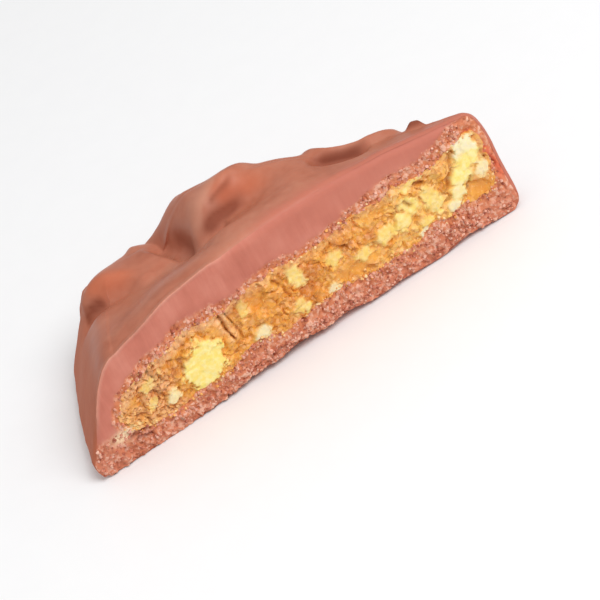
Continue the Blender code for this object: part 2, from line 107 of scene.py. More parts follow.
def through(stations: tuple, x: Array) -> Array:
    """A smooth curve through stations.

    Args:
        stations: (place, height) pairs in rising order of place.
        x: the places asked for.

    Returns:
        The height at each place.
    """
    places, heights = np.array(stations, float).T
    slopes = np.gradient(heights, places)
    x = np.clip(x, places[0], places[-1])
    left = np.clip(np.searchsorted(places, x) - 1, 0, len(places) - 2)
    span = places[left + 1] - places[left]
    t = (x - places[left]) / span
    rise = smooth(t)
    bow = span * t * (1.0 - t) * ((1.0 - t) * slopes[left] - t * slopes[left + 1])
    return heights[left] * (1.0 - rise) + heights[left + 1] * rise + bow


def lengths_along(line: Array) -> Array:
    """How far along a line of points each point lies."""
    return np.concatenate([[0.0], np.cumsum(np.linalg.norm(np.diff(line, axis=0), axis=1))])


def rounded_path(points: tuple, steps: int = 8) -> Array:
    """Points along a smooth curve through the given ones."""
    points = np.array(points, float)
    lengths = lengths_along(points)
    fine = np.linspace(0.0, lengths[-1], steps * (len(points) - 1) + 1)
    return np.stack([through(np.stack([lengths, column], 1), fine) for column in points.T], 1)


def offset_from(path: Array, plan: Array) -> tuple[Array, Array]:
    """How far points lie from a path.

    Args:
        path: the path's own points.
        plan: the points asked for.

    Returns:
        The signed distance, positive to the path's right, and the share of the path at the nearest point.
    """
    starts, spans = path[:-1], np.diff(path, axis=0)
    away = plan[..., None, :] - starts
    share = np.clip((away * spans).sum(-1) / (spans ** 2).sum(-1), 0.0, 1.0)
    gap = away - share[..., None] * spans
    distance = np.linalg.norm(gap, axis=-1)
    nearest = distance.argmin(-1)
    chosen = np.take_along_axis(distance, nearest[..., None], -1)[..., 0]
    near_gap = np.take_along_axis(gap, nearest[..., None, None].repeat(2, -1), -2)[..., 0, :]
    span = spans[nearest]
    right = span[..., 1] * near_gap[..., 0] - span[..., 0] * near_gap[..., 1]
    along = (nearest + np.take_along_axis(share, nearest[..., None], -1)[..., 0]) / len(spans)
    return np.where(right >= 0.0, chosen, -chosen), along


def waves(points: Array, length: float, seed: int) -> Array:
    """Slow noise between about -1 and 1.

    Args:
        points: places in two or three dimensions.
        length: the size of one wave.
        seed: which noise of many.

    Returns:
        One value for each point.
    """
    flat = points.reshape(-1, points.shape[-1]) / length
    shift = Vector((seed * 7.3, seed * 3.1, seed * 5.7))
    values = [noise.noise(Vector((*p, 0.0)[:3]) + shift) for p in flat]
    return np.array(values).reshape(points.shape[:-1])


def mixed_waves(points: Array, kinds: tuple) -> Array:
    """A sum of slow noises, each given by its height, wave length and seed."""
    return sum(height * waves(points, length, seed) for height, length, seed in kinds)


def shaken(plane: Array, reach: float, length: float, seed: int) -> Array:
    """Moves of a plane's places by slow noise in both of its directions."""
    return reach * np.stack([waves(plane, length, seed), waves(plane, length, seed + 1)], -1)


def spread(front: Array, values: Array, elsewhere: float = 0.0) -> Array:
    """The values of the points at the front, with one value for all other points."""
    found = np.full(front.shape, elsewhere)
    found[front] = values
    return found


def bend(start: tuple, middle: tuple, end: tuple, t: Array) -> tuple[Array, Array]:
    """A curve from start to end that leaves and arrives towards middle, and its direction."""
    t = np.asarray(t)[..., None]
    start, middle, end = (np.asarray(p, float) for p in (start, middle, end))
    place = (1 - t) ** 2 * start + 2 * t * (1 - t) * middle + t ** 2 * end
    direction = 2 * (1 - t) * (middle - start) + 2 * t * (end - middle)
    return place, direction


def crossing(start: Array, way: Array, one: Array, other: Array) -> Array:
    """Where the line from start along way meets the line through two points."""
    span = other - one
    normal = np.array((-span[1], span[0]))
    return start + way * ((one - start) @ normal) / (way @ normal)


def filled(left: Array, right: Array, low: Array, high: Array, across: Array) -> Array:
    """A sheet of points between four edges.

    Args:
        left: the edge at the first index's start, running along the second index.
        right: the edge at the first index's end.
        low: the edge at the second index's start, running along the first index.
        high: the edge at the second index's end.
        across: the share of the way from low to high at each step of the second index.

    Returns:
        The points by both indices.
    """
    s = np.linspace(0.0, 1.0, len(low))[:, None, None]
    t = across[None, :, None]
    sheet = (1 - s) * left[None] + s * right[None] + (1 - t) * low[:, None] + t * high[:, None]
    corners = (1 - s) * (1 - t) * low[0] + s * (1 - t) * low[-1]
    corners = corners + (1 - s) * t * high[0] + s * t * high[-1]
    return sheet - corners


@dataclass(frozen=True)
class Ridge:
    """A drip, fold or furrow along a path over the unrolled skin, in millimetres."""

    # Beyond this many widths from the path nothing is left of it.
    WIDTHS_OUT = 3.2

    height: float
    left_width: float
    right_width: float
    path: tuple
    rise: float = 0.15
    fall: float = 0.15

    def lift(self, plan: Array) -> Array:
        """How far it lifts the skin at each place of the unrolled plan."""
        path = rounded_path(self.path)
        reach = self.WIDTHS_OUT * max(self.left_width, self.right_width)
        near = ((plan > path.min(0) - reach) & (plan < path.max(0) + reach)).all(-1)
        side, along = offset_from(path, plan[near])
        width = np.where(side < 0.0, self.left_width, self.right_width)
        ends = Span(0.0, self.rise, 1.0, self.fall).share(along)
        lift = np.zeros(plan.shape[:-1])
        lift[near] = self.height * ends * np.exp(-(side / width) ** 2)
        return lift


def line_share(line: tuple, width: float, plane: Array, fade: float = 0.15) -> Array:
    """1 on a line that fades at its ends, and 0 further away than its width."""
    side, along = offset_from(rounded_path(line), plane)
    return Span(0.0, fade, 1.0, fade).share(along) * np.exp(-(side / width) ** 2)


@dataclass(frozen=True)
class Swell:
    """A round swell or dent, in millimetres."""

    x: float
    y: float
    radius_x: float
    radius_y: float
    height: float

    def lift(self, plan: Array) -> Array:
        """How far it lifts each place of the plan."""
        away = ((plan[..., 0] - self.x) / self.radius_x) ** 2 + ((plan[..., 1] - self.y) / self.radius_y) ** 2
        return self.height * np.exp(-away)


@dataclass(frozen=True)
class Cells:
    """Uneven cells over a plane, such as crystals or crumbs: their size in millimetres and their seed."""

    # Large numbers that mix a cell's place, its channel and the seed.
    MIXERS = (374761393, 668265263, 2246822519, 3266489917, 1274126177)
    LARGEST = 0xFFFFFF

    size: float
    seed: int

    def number(self, cell: Array, channel: int) -> Array:
        """A number from 0 to 1 for each cell and channel, the same each time."""
        across, up, by_channel, by_seed, last = self.MIXERS
        parts = cell.astype(np.int64).astype(np.uint64)
        mixed = parts[..., 0] * np.uint64(across) + parts[..., 1] * np.uint64(up)
        mixed = mixed + np.uint64(channel * by_channel + self.seed * by_seed)
        mixed = (mixed ^ (mixed >> np.uint64(13))) * np.uint64(last)
        mixed = (mixed ^ (mixed >> np.uint64(16))) & np.uint64(self.LARGEST)
        return mixed.astype(float) / float(self.LARGEST)

    def around(self, plane: Array) -> tuple[Array, Array, Array]:
        """The cell that each place lies in.

        Args:
            plane: places in millimetres.

        Returns:
            A random value of the cell, a random slope across it, and how close the place is to the
            border of the cell, from 0 on it to 1 at the middle.
        """
        grid = plane / self.size
        base = np.floor(grid)
        first = np.full(plane.shape[:-1], np.inf)
        second = first.copy()
        value = np.zeros_like(first)
        slope = np.zeros_like(first)
        for step in np.ndindex(3, 3):
            cell = base + np.array(step) - 1.0
            jitter = np.stack([self.number(cell, 0), self.number(cell, 1)], -1)
            away = grid - cell - 0.1 - 0.8 * jitter
            distance = np.linalg.norm(away, axis=-1)
            nearer = distance < first
            second = np.where(nearer, first, np.minimum(second, distance))
            first = np.where(nearer, distance, first)
            turn = 2.0 * math.pi * self.number(cell, 3)
            tilt = away[..., 0] * np.cos(turn) + away[..., 1] * np.sin(turn)
            value = np.where(nearer, self.number(cell, 2), value)
            slope = np.where(nearer, tilt, slope)
        return value, slope, np.clip(2.0 * (second - first), 0.0, 1.0)


@dataclass(frozen=True)
class BarForm:
    """The form that both pieces share: outline in plan, walls, top and folds, in millimetres."""

    cut_left: float = -1.2
    cut_right: float = 46.6
    end_skew: float = math.radians(17.0)
    back_skew: float = math.radians(25.0)
    right_skew: float = math.radians(10.0)
    end_wall: float = 23.4
    left_round: float = 9.5
    right_round: float = 2.6
    round_share: float = 0.8
    end_bow: float = 0.5
    back_bow: float = 1.1
    back_wall: float = 45.0
    nominal_height: float = 12.5
    foot_share: float = 0.18
    wall_share: float = 0.62
    foot_level: float = 0.2
    shoulder_level: float = 0.45
    foot_tuck: float = 1.1
    # Lean and shoulder of the end wall, of the back wall at left and at right, and of the right wall.
    walls: tuple = ((2.8, 3.7), (1.2, 4.0), (1.2, 1.9), (0.3, 1.9))
    half_turn: int = 8
    front_crowding: float = 1.3
    cut_top: tuple = (
        (-1.0, 10.6), (4.3, 11.1), (6.6, 11.8), (9.0, 12.5), (12.0, 13.4), (15.0, 13.8),
        (20.5, 14.2), (33.0, 14.2), (36.0, 14.0), (39.0, 13.5), (43.0, 12.7), (47.0, 12.1),
    )
    low_lobe: float = 10.0
    low_lobe_ramp: Ramp = Ramp(1.0, 8.5)
    fold: tuple = (
        (19.6, -1.0), (18.6, 3.5), (17.4, 7.7), (16.3, 10.7), (15.7, 14.2), (15.4, 19.0), (15.4, 24.0),
    )
    fold_width_front: float = 3.4
    fold_width_back: float = 5.4
    fold_widening: Ramp = Ramp(0.30, 0.35)
    fold_steepness: float = 1.8
    right_fall: float = 0.34
    right_fall_ramp: Ramp = Ramp(27.5, 8.0)
    swells: tuple = (Swell(8.8, 12.5, 4.2, 3.5, 0.6), Swell(23.6, 10.2, 4.6, 3.6, 0.6))
    hooked_crest: Ridge = Ridge(0.6, 2.0, 0.8, (
        (17.8, 4.0), (18.6, 5.5), (19.8, 6.8), (21.4, 7.8), (23.4, 9.0), (25.4, 10.8),
        (27.0, 14.0), (28.2, 17.5), (28.6, 20.5)), fall=0.05)
    hollow: Ridge = Ridge(-1.7, 1.5, 2.5, (
        (18.6, 4.6), (19.6, 5.9), (21.0, 6.7), (22.8, 6.8), (24.6, 6.4), (26.6, 5.8), (29.4, 5.0)), fall=0.55)
    low_crest: Ridge = Ridge(0.6, 2.0, 0.9, (
        (4.8, 12.6), (7.2, 12.6), (9.8, 12.0), (11.8, 10.2), (13.2, 7.6)))
    furrow: Ridge = Ridge(-1.5, 1.1, 1.1, (
        (2.6, 14.2), (3.8, 12.2), (5.2, 10.9), (6.8, 10.4), (8.8, 10.0), (10.6, 9.2), (12.2, 7.4)),
        0.55, 0.55)
    crease: Ridge = Ridge(-0.8, 0.8, 1.0, (
        (18.3, 6.2), (17.2, 8.2), (16.4, 10.2), (15.7, 12.4), (15.0, 15.0)), 0.35, 0.35)
    crease_line: Ridge = Ridge(-0.2, 0.6, 0.8, (
        (17.9, 7.6), (17.3, 9.0), (17.0, 10.6), (16.6, 12.2)), 0.3, 0.35)
    curl_line: Ridge = Ridge(-0.3, 0.35, 0.7, (
        (30.8, 7.1), (32.4, 6.3), (33.6, 5.8), (34.8, 5.5), (36.6, 5.1)), 0.25, 0.3)
    # Painted shade: dark colour laid into the hollow, along its rim and into the furrow, where shade falls.
    hollow_shade: Ridge = Ridge(1.3, 0.55, 0.75, (
        (18.4, 6.5), (19.6, 6.8), (20.8, 6.9), (22.1, 7.0), (23.5, 7.15), (25.0, 7.3)), 0.2, 0.4)
    furrow_shade: Ridge = Ridge(1.2, 0.35, 0.5, (
        (4.2, 12.5), (5.6, 11.9), (6.5, 11.5), (7.4, 11.2), (8.4, 10.9)), 0.2, 0.3)
    rim_shade: Ridge = Ridge(0.6, 0.2, 0.25, (
        (20.8, 7.8), (21.6, 8.1), (22.6, 8.3), (23.8, 8.6), (24.6, 9.3)), 0.2, 0.4)
    # Painted glow: light bouncing between the folds, painted on as a warm orange.
    glow_line: Ridge = Ridge(1.0, 1.2, 0.8, (
        (21.2, 7.9), (22.6, 7.9), (24.2, 7.8), (25.8, 7.1), (27.6, 5.6)), 0.2, 0.45)
    low_glow_line: Ridge = Ridge(1.0, 1.2, 1.0, (
        (6.6, 12.4), (8.0, 12.1), (9.6, 11.6), (11.2, 10.6), (12.4, 9.0)), 0.2, 0.4)
    # Painted sheen: a pale colour on the crest's face where it catches the light.
    sheen_line: Ridge = Ridge(1.0, 2.0, 0.3, (
        (18.4, 6.6), (19.6, 7.8), (21.0, 8.6), (22.4, 9.2), (24.0, 11.0)), 0.2, 0.3)
    low_rim: Ridge = Ridge(0.5, 1.3, 0.7, (
        (16.9, 6.6), (15.9, 8.8), (15.0, 10.8), (14.1, 12.8), (13.2, 15.2)), 0.4, 0.4)
    curl: Ridge = Ridge(0.7, 0.8, 0.7, (
        (30.8, 12.0), (31.4, 9.0), (32.8, 7.0), (34.6, 6.1), (36.8, 5.6), (38.8, 6.0), (39.8, 9.0)), fall=0.2)
    valley: Ridge = Ridge(-1.2, 0.9, 0.7, ((30.6, 6.4), (32.2, 5.1), (34.2, 4.4), (36.6, 4.2)), 0.3, 0.25)
    knob: Ridge = Ridge(0.7, 0.9, 0.9, ((39.7, 4.5), (42.1, 4.2)), 0.4, 0.4)
    drips: tuple = (
        Ridge(0.7, 1.8, 0.9, ((19.6, 13.0), (20.2, 17.0), (22.6, 20.8), (23.8, 23.5)), fall=0.05),
        Ridge(0.6, 0.9, 1.6, ((13.8, 14.0), (13.0, 18.0), (14.2, 22.2), (15.0, 24.5)), fall=0.06),
        Ridge(0.6, 0.9, 1.6, ((7.6, 15.0), (5.4, 19.0), (5.0, 23.5)), fall=0.06),
        Ridge(0.4, 1.0, 1.0, ((43.0, 5.0), (43.7, 8.2), (44.0, 11.5)), fall=0.08),
    )
    wave_height: float = 0.22
    wave_length: float = 7.5
    bow_top: float = 0.9
    probe: float = 0.2
    foot_bulge: float = 0.3
    shoulder_reach: float = 0.6
    round_loss: float = 0.5

    def wall(self, level: float, lean: float, shoulder: float) -> tuple[float, float, float, float]:
        """A wall at a level from 0 to 1.

        Args:
            level: 0 at the base and 1 at the rim of the top.
            lean: how far the wall leans in.
            shoulder: how far its shoulder reaches in.

        Returns:
            The inset, the share of the height, and the outward and upward part of the normal.
        """
        foot = self.foot_share * self.nominal_height
        top = self.wall_share * self.nominal_height
        reach = min(lean / (top - foot) * (self.nominal_height - top), self.shoulder_reach * shoulder)
        if level < self.foot_level:
            low, bulge, high = (self.foot_tuck, 0.0), (0.0, self.foot_bulge * foot), (0.0, foot)
            place, way = bend(low, bulge, high, level / self.foot_level)
        elif level < self.shoulder_level:
            share = (level - self.foot_level) / (self.shoulder_level - self.foot_level)
            place = np.array((lean * share, foot + (top - foot) * share))
            way = np.array((lean, top - foot))
        else:
            share = (level - self.shoulder_level) / (1.0 - self.shoulder_level)
            rim = (lean + shoulder, self.nominal_height)
            place, way = bend((lean, top), (lean + reach, self.nominal_height), rim, share)
        place = place.reshape(2)
        way = way.reshape(2) / np.linalg.norm(way)
        return place[0], place[1] / self.nominal_height, way[1], way[0]

    def crowded(self, count: int) -> Array:
        """Shares from 0 to 1 that stand closer together near the cut."""
        return np.linspace(0.0, 1.0, count + 1) ** self.front_crowding

    def outline(self, insets: tuple, rounds: tuple, grid: tuple) -> tuple[Array, Array, Array, Array]:
        """The plan's four edges.

        Args:
            insets: how far the end, the back at left and at right, and the right wall stand in.
            rounds: the radii of the two far corners.
            grid: the steps along X, Y and Z.

        Returns:
            The left, back, right and front edges as points.
        """
        end_inset, back_left, back_right, right_inset = insets
        skews = (self.end_skew, self.right_skew, self.back_skew)
        end_way, right_way, outwards = (np.array((math.sin(skew), math.cos(skew))) for skew in skews)
        left = np.array((self.cut_left + end_inset / math.cos(self.end_skew), 0.0))
        right = np.array((self.cut_right - right_inset / math.cos(self.right_skew), 0.0))
        corner = np.array((self.cut_left, 0.0)) + self.end_wall * end_way
        along = np.array((outwards[1], -outwards[0]))
        near, far = corner - back_left * outwards, corner + self.back_wall * along - back_right * outwards
        far_left = crossing(left, end_way, near, far)
        far_right = crossing(right, right_way, near, far)
        back_way = (far_right - far_left) / np.linalg.norm(far_right - far_left)
        turn = np.linspace(0.0, 1.0, 2 * self.half_turn + 1)
        left_round = rounds[0]
        right_round = min(rounds[1], self.round_share * np.linalg.norm(far_right - right))
        corner_left, _ = bend(
            far_left - left_round * end_way, far_left, far_left + left_round * back_way, turn)
        corner_right, _ = bend(
            far_right - right_round * back_way, far_right, far_right - right_round * right_way, turn)
        line = np.concatenate([[left], corner_left, corner_right, [right]])
        lengths = lengths_along(line)
        first, second = lengths[1 + self.half_turn], lengths[2 + 3 * self.half_turn]

        def spaced(start: float, end: float, shares: Array) -> Array:
            """Points of the line between two of its lengths."""
            places = start + (end - start) * shares
            return np.stack([np.interp(places, lengths, line[:, axis]) for axis in (0, 1)], 1)

        front = np.linspace(0.0, 1.0, grid[0] + 1)
        return (spaced(0.0, first, self.crowded(grid[1])), spaced(first, second, front),
                spaced(lengths[-1], second, self.crowded(grid[1])),
                left * (1 - front[:, None]) + right * front[:, None])

    def top_height(self, plan: Array) -> Array:
        """Height of the top over each place in plan."""
        x, y = plan[..., 0], plan[..., 1]
        high = through(self.cut_top, x)
        low = high + (self.low_lobe - high) * self.low_lobe_ramp.share(y)
        side, along = offset_from(rounded_path(self.fold), plan)
        wider = self.fold_width_back - self.fold_width_front
        width = self.fold_width_front + wider * self.fold_widening.share(along)
        rise = 1.0 - (1.0 - np.clip(side / width, 0.0, 1.0)) ** self.fold_steepness
        height = low + (high - low) * rise
        height = height - self.right_fall * y * self.right_fall_ramp.share(x)
        return height + sum(swell.lift(plan) for swell in self.swells)

    def relief(self, plan: Array) -> Array:
        """How far folds, drips and waves lift the skin over the unrolled plan."""
        folds = (self.hooked_crest, self.hollow, self.low_crest, self.furrow, self.crease, self.crease_line,
                 self.low_rim, self.curl, self.curl_line, self.valley, self.knob, *self.drips)
        return self.wave_height * waves(plan, self.wave_length, 1) + sum(fold.lift(plan) for fold in folds)

    def tints(self, plan: Array) -> dict[str, Array]:
        """Where shade is painted dark into pits and creases, the knob is made darker, bounced light is
        painted as a warm orange between folds, and a pale sheen is painted on a crest.
        """
        glows = (self.glow_line, self.low_glow_line)
        shades = ((self.crease_line, 0.4), (self.curl_line, 1.0), (self.knob, 1.6))
        darkest = (self.hollow_shade, self.furrow_shade, self.rim_shade,
                   *(replace(line, height=share) for line, share in shades))
        lines = {"pit": darkest, "painted_glow": glows, "painted_sheen": (self.sheen_line,)}
        shares = {name: sum(line.lift(plan) for line in kind) for name, kind in lines.items()}
        return {name: np.clip(share, 0.0, 1.0) for name, share in shares.items()}

    def bare_skin(self, grid: tuple) -> tuple[Array, Array, Array]:
        """The skin before its folds: places, outward normals and unrolled plan places by three indices."""
        nx, ny, nz = grid
        place = np.zeros((nx + 1, ny + 1, nz + 1, 3))
        normal = np.zeros_like(place)
        unrolled = np.zeros((nx + 1, ny + 1, nz + 1, 2))
        walls, rings = [], []
        for level in np.linspace(0.0, 1.0, nz + 1):
            end, back, back_right, right = (self.wall(level, *wall) for wall in self.walls)
            rounds = (self.left_round - self.round_loss * end[0],
                      self.right_round - self.round_loss * back_right[0])
            rings.append(self.outline((end[0], back[0], back_right[0], right[0]), rounds, grid))
            walls.append((end, back, right))
        profile = np.array([(back[0], back[1] * self.nominal_height) for _, back, _ in walls])
        down = lengths_along(profile[::-1])[::-1]
        top = filled(rings[-1][0], rings[-1][2], rings[-1][3], rings[-1][1], self.crowded(ny))
        top_z = self.top_height(top)
        widest = rings[round(self.foot_level * nz)]
        borders = (np.s_[0, :], np.s_[:, ny], np.s_[nx, :])
        for k, ring in enumerate(rings):
            for which, border in enumerate(borders):
                rim = top[border]
                out = widest[which] - rim
                out = out / np.linalg.norm(out, axis=-1, keepdims=True)
                _, height, outward, upward = walls[k][which]
                place[border + (k,)] = np.concatenate([ring[which], (height * top_z[border])[:, None]], 1)
                unrolled[border + (k,)] = rim + out * down[k]
                normal[border + (k,)] = np.concatenate([out * outward, np.full((len(out), 1), upward)], 1)
        place[:, :, nz, :2] = top
        place[:, :, nz, 2] = top_z
        place[:, 0, 0, :2] = rings[0][3]
        unrolled[:, :, nz] = top
        tilt = [(self.top_height(top + step) - top_z) / self.probe for step in np.eye(2) * self.probe]
        up = np.stack([-tilt[0], -tilt[1], np.ones_like(top_z)], -1)
        normal[:, :, nz] = up / np.linalg.norm(up, axis=-1, keepdims=True)
        return place, normal, unrolled


@dataclass(frozen=True)
class SlabForm:
    """The toffee slab's form inside the bar's, in millimetres.

    The insets, and the edge and slant that go with each, are those of the end, the back at left and at
    right, and the right wall.
    """

    bar: BarForm = BarForm()
    insets: tuple = (4.0, 3.6, 1.7, 1.4)
    edges: tuple = (1.0, 1.0, 0.3, 0.6)
    slants: tuple = (2.6, 2.4, 2.4, 0.0)
    slant_from: float = 0.35
    slant_power: float = 1.3
    rounds: tuple = (5.5, 0.6)
    back_height: float = 8.3
    back_ramp: Ramp = Ramp(2.0, 6.0)
    border_grid: tuple = (90, 2, 20)
    low: tuple = (
        (3.0, 3.6), (5.2, 2.7), (8.5, 2.1), (11.0, 2.5), (13.8, 2.6), (17.3, 3.8), (20.8, 3.1),
        (24.5, 3.4), (28.0, 3.4), (33.0, 3.1), (38.5, 3.8), (46.0, 3.5),
    )
    high: tuple = (
        (3.0, 7.0), (6.2, 7.9), (9.2, 8.4), (11.8, 9.3), (15.0, 8.7), (19.5, 9.6), (25.0, 9.2),
        (30.0, 9.5), (34.5, 9.9), (40.0, 9.6), (43.6, 10.7), (46.0, 10.0),
    )

    def ragged(self, plane: Array) -> Array:
        """Places of the cut plane moved by the unevenness of the slab's border."""
        return plane + shaken(plane, 0.40, 1.7, 21) + shaken(plane, 0.20, 0.6, 31)

    def places(self, grid: tuple, grow: float) -> Array:
        """Every surface point of the slab by three indices, grown by some amount all round."""
        nx, ny, nz = grid
        place = np.zeros((nx + 1, ny + 1, nz + 1, 3))
        for k, level in enumerate(np.linspace(0.0, 1.0, nz + 1)):
            edge = np.array(self.edges) * (1.0 - math.sin(math.pi * level)) ** 2
            slant = np.array(self.slants) * max(0.0, level - self.slant_from) ** self.slant_power
            insets = np.array(self.insets) + edge + slant - grow
            left, back, right, low = self.bar.outline(insets, self.rounds, grid)
            sheet = filled(left, right, low, back, self.bar.crowded(ny))
            bottom = through(self.low, sheet[..., 0]) - grow
            high = through(self.high, sheet[..., 0])
            top = high + (self.back_height - high) * self.back_ramp.share(sheet[..., 1]) + grow
            place[:, :, k, :2] = sheet
            place[:, :, k, 2] = bottom + (top - bottom) * level
        place[..., ::2] = self.ragged(place[..., ::2])
        return place

    def inside(self, plane: Array) -> Array:
        """How far each place of the cut plane lies inside the slab's outline; negative outside."""
        face = self.places(self.border_grid, 0.0)[:, 0][..., ::2]
        line = np.concatenate([face[0], face[1:, -1], face[-1, ::-1][1:], face[::-1, 0][1:]])
        distance = np.abs(offset_from(line, plane)[0])
        x, z = plane[..., 0, None], plane[..., 1, None]
        x0, z0 = line[:-1].T
        x1, z1 = line[1:].T
        spans = (z0 > z) != (z1 > z)
        rise = np.where(z1 == z0, 1.0, z1 - z0)
        hits = (spans & (x < (x1 - x0) * (z - z0) / rise + x0)).sum(-1)
        return np.where(hits % 2 == 1, distance, -distance)


@dataclass(frozen=True)
class Placement:
    """Turns the layout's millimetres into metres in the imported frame."""

    shift: Vector

    @classmethod
    def from_frame(cls, bar: BarForm, grid: tuple = (80, 24, 15)) -> "Placement":
        """Sets the layout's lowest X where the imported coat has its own.

        Args:
            bar: the form of the layout.
            grid: the steps at which the form is measured.

        Returns:
            The placement.
        """
        low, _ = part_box("chocolate_coat")
        layout_left = bar.bare_skin(grid)[0][..., 0].min()
        return cls(Vector((low.x - layout_left * MM, low.y, 0.0)))

    def metres(self, points: Array) -> Array:
        """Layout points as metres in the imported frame."""
        return points * MM + np.array(self.shift)


class Mesher:
    """Modelling steps with Blender's operators that several pieces share."""

    MOST_CUTS = 100

    @staticmethod
    def clear() -> None:
        """Leaves edit mode and deselects everything."""
        if bpy.context.mode != "OBJECT":
            bpy.ops.object.mode_set(mode="OBJECT")
        bpy.ops.object.select_all(action="DESELECT")

    @staticmethod
    def activate(thing: Thing) -> None:
        """Selects one object and makes it the active one."""
        Mesher.clear()
        thing.select_set(True)
        bpy.context.view_layer.objects.active = thing

    @staticmethod
    def passes(count: int) -> list[int]:
        """The number of pieces that each pass makes of an edge, so that count pieces come out."""
        if count <= Mesher.MOST_CUTS:
            return [count]
        second = next(n for n in range(2, count) if count % n == 0 and count // n <= Mesher.MOST_CUTS)
        return [count // second, second]

    @staticmethod
    def divided_block(
        name: str, grid: tuple, places: Array, kept: dict[str, Array] | None = None,
    ) -> Thing:
        """A cube divided evenly along each axis, its points moved to the given places.

        Args:
            name: the object's name.
            grid: the steps along X, Y and Z.
            places: a place for each of the three indices.
            kept: values to keep for the points under a name, by the three indices.

        Returns:
            The new object, with its normals outwards.
        """
        Mesher.clear()
        bpy.ops.mesh.primitive_cube_add(size=1.0)
        thing = bpy.context.object
        thing.name = name
        bpy.ops.object.mode_set(mode="EDIT")
        bpy.ops.mesh.select_mode(type="EDGE")
        for axis, count in enumerate(grid):
            for share in Mesher.passes(count):
                bpy.ops.mesh.select_all(action="DESELECT")
                shape = bmesh.from_edit_mesh(thing.data)
                others = [a for a in range(3) if a != axis]
                for edge in shape.edges:
                    span = edge.verts[0].co - edge.verts[1].co
                    edge.select_set(all(abs(span[a]) < 1e-6 for a in others))
                bmesh.update_edit_mesh(thing.data)
                if share > 1:
                    bpy.ops.mesh.subdivide(number_cuts=share - 1)
        bpy.ops.object.mode_set(mode="OBJECT")
        points = Mesher.points(thing)
        index = tuple(np.round((points + 0.5) * np.array(grid)).astype(int).T)
        Mesher.move(thing, places[index])
        Mesher.store(thing, {key: values[index] for key, values in (kept or {}).items()})
        Mesher.outward(thing)
        return thing

    @staticmethod
    def vectors(parts: bpy.types.bpy_prop_collection, key: str) -> Array:
        """One vector of each of a mesh's points or faces."""
        found = np.zeros(len(parts) * 3, np.float32)
        parts.foreach_get(key, found)
        return found.reshape(-1, 3).astype(float)

    @staticmethod
    def points(thing: Thing) -> Array:
        """The mesh's points."""
        return Mesher.vectors(thing.data.vertices, "co")

    @staticmethod
    def paint(thing: Thing, finishes: tuple, cut: Array | bool) -> None:
        """Gives an object the coat's two materials, the one of the cut where it is cut."""
        for finish in finishes:
            thing.data.materials.append(finish)
        chosen = np.where(cut, Coat.CUT.value, Coat.SKIN.value)
        thing.data.polygons.foreach_set("material_index", np.broadcast_to(chosen, len(thing.data.polygons)))

    @staticmethod
    def move(thing: Thing, points: Array) -> None:
        """Moves the mesh's points."""
        thing.data.vertices.foreach_set("co", points.astype(np.float32).ravel())
        thing.data.update()

    @staticmethod
    def outward(thing: Thing) -> None:
        """Turns every face outwards."""
        Mesher.activate(thing)
        bpy.ops.object.mode_set(mode="EDIT")
        bpy.ops.mesh.select_all(action="SELECT")
        bpy.ops.mesh.normals_make_consistent(inside=False)
        bpy.ops.object.mode_set(mode="OBJECT")

    @staticmethod
    def carve(thing: Thing, cutter: Thing) -> None:
        """Cuts one object out of another and removes the cutter."""
        Mesher.activate(thing)
        cut = thing.modifiers.new("pocket", "BOOLEAN")
        cut.operation = "DIFFERENCE"
        cut.solver = "MANIFOLD"
        cut.object = cutter
        bpy.ops.object.modifier_apply(modifier=cut.name)
        bpy.data.objects.remove(cutter, do_unlink=True)

    @staticmethod
    def store(thing: Thing, kept: dict[str, Array]) -> None:
        """Keeps values for the mesh's points under the names that the finishes read."""
        for name, values in kept.items():
            attribute = thing.data.attributes.new(name, "FLOAT", "POINT")
            attribute.data.foreach_set("value", values.astype(np.float32))

    @staticmethod
    def shade(thing: Thing, degrees: float) -> None:
        """Smooth shading with edges sharper than an angle kept."""
        Mesher.activate(thing)
        bpy.ops.object.shade_smooth_by_angle(angle=math.radians(degrees))

    @staticmethod
    def finish(thing: Thing, node: str | None, slot: str) -> None:
        """Parents a piece to the root, hides the CAD part it stands for, and logs its point and face counts.

        Args:
            thing: the piece.
            node: the CAD node it stands for, if any.
            slot: the record's material slot; not used.
        """
        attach(thing, "root")
        if node:
            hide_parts(node)
        LOG.info("%s: %d points, %d faces", thing.name, len(thing.data.vertices), len(thing.data.polygons))


class Value:
    """A shader socket that the usual operators work on."""

    def __init__(self, shader: "Shader", socket: bpy.types.NodeSocket) -> None:
        """Keeps the shader and the socket."""
        self.shader = shader
        self.socket = socket

    def _maths(self, operation: str, *inputs: object) -> "Value":
        """A Math node with these inputs."""
        return self.shader.add("ShaderNodeMath", {"operation": operation}, inputs)

    def __add__(self, other: object) -> "Value":
        """Sum."""
        return self._maths("ADD", self, other)

    def __mul__(self, other: object) -> "Value":
        """Product."""
        return self._maths("MULTIPLY", self, other)

    def __rsub__(self, other: object) -> "Value":
        """Difference the other way round."""
        return self._maths("SUBTRACT", other, self)

    __radd__ = __add__
    __rmul__ = __mul__

    def between(self, low: float, high: float) -> "Value":
        """0 below low, 1 above high and an S curve in between."""
        inputs = {"Value": self, "From Min": low, "From Max": high}
        return self.shader.add("ShaderNodeMapRange", {"interpolation_type": "SMOOTHSTEP"}, inputs)


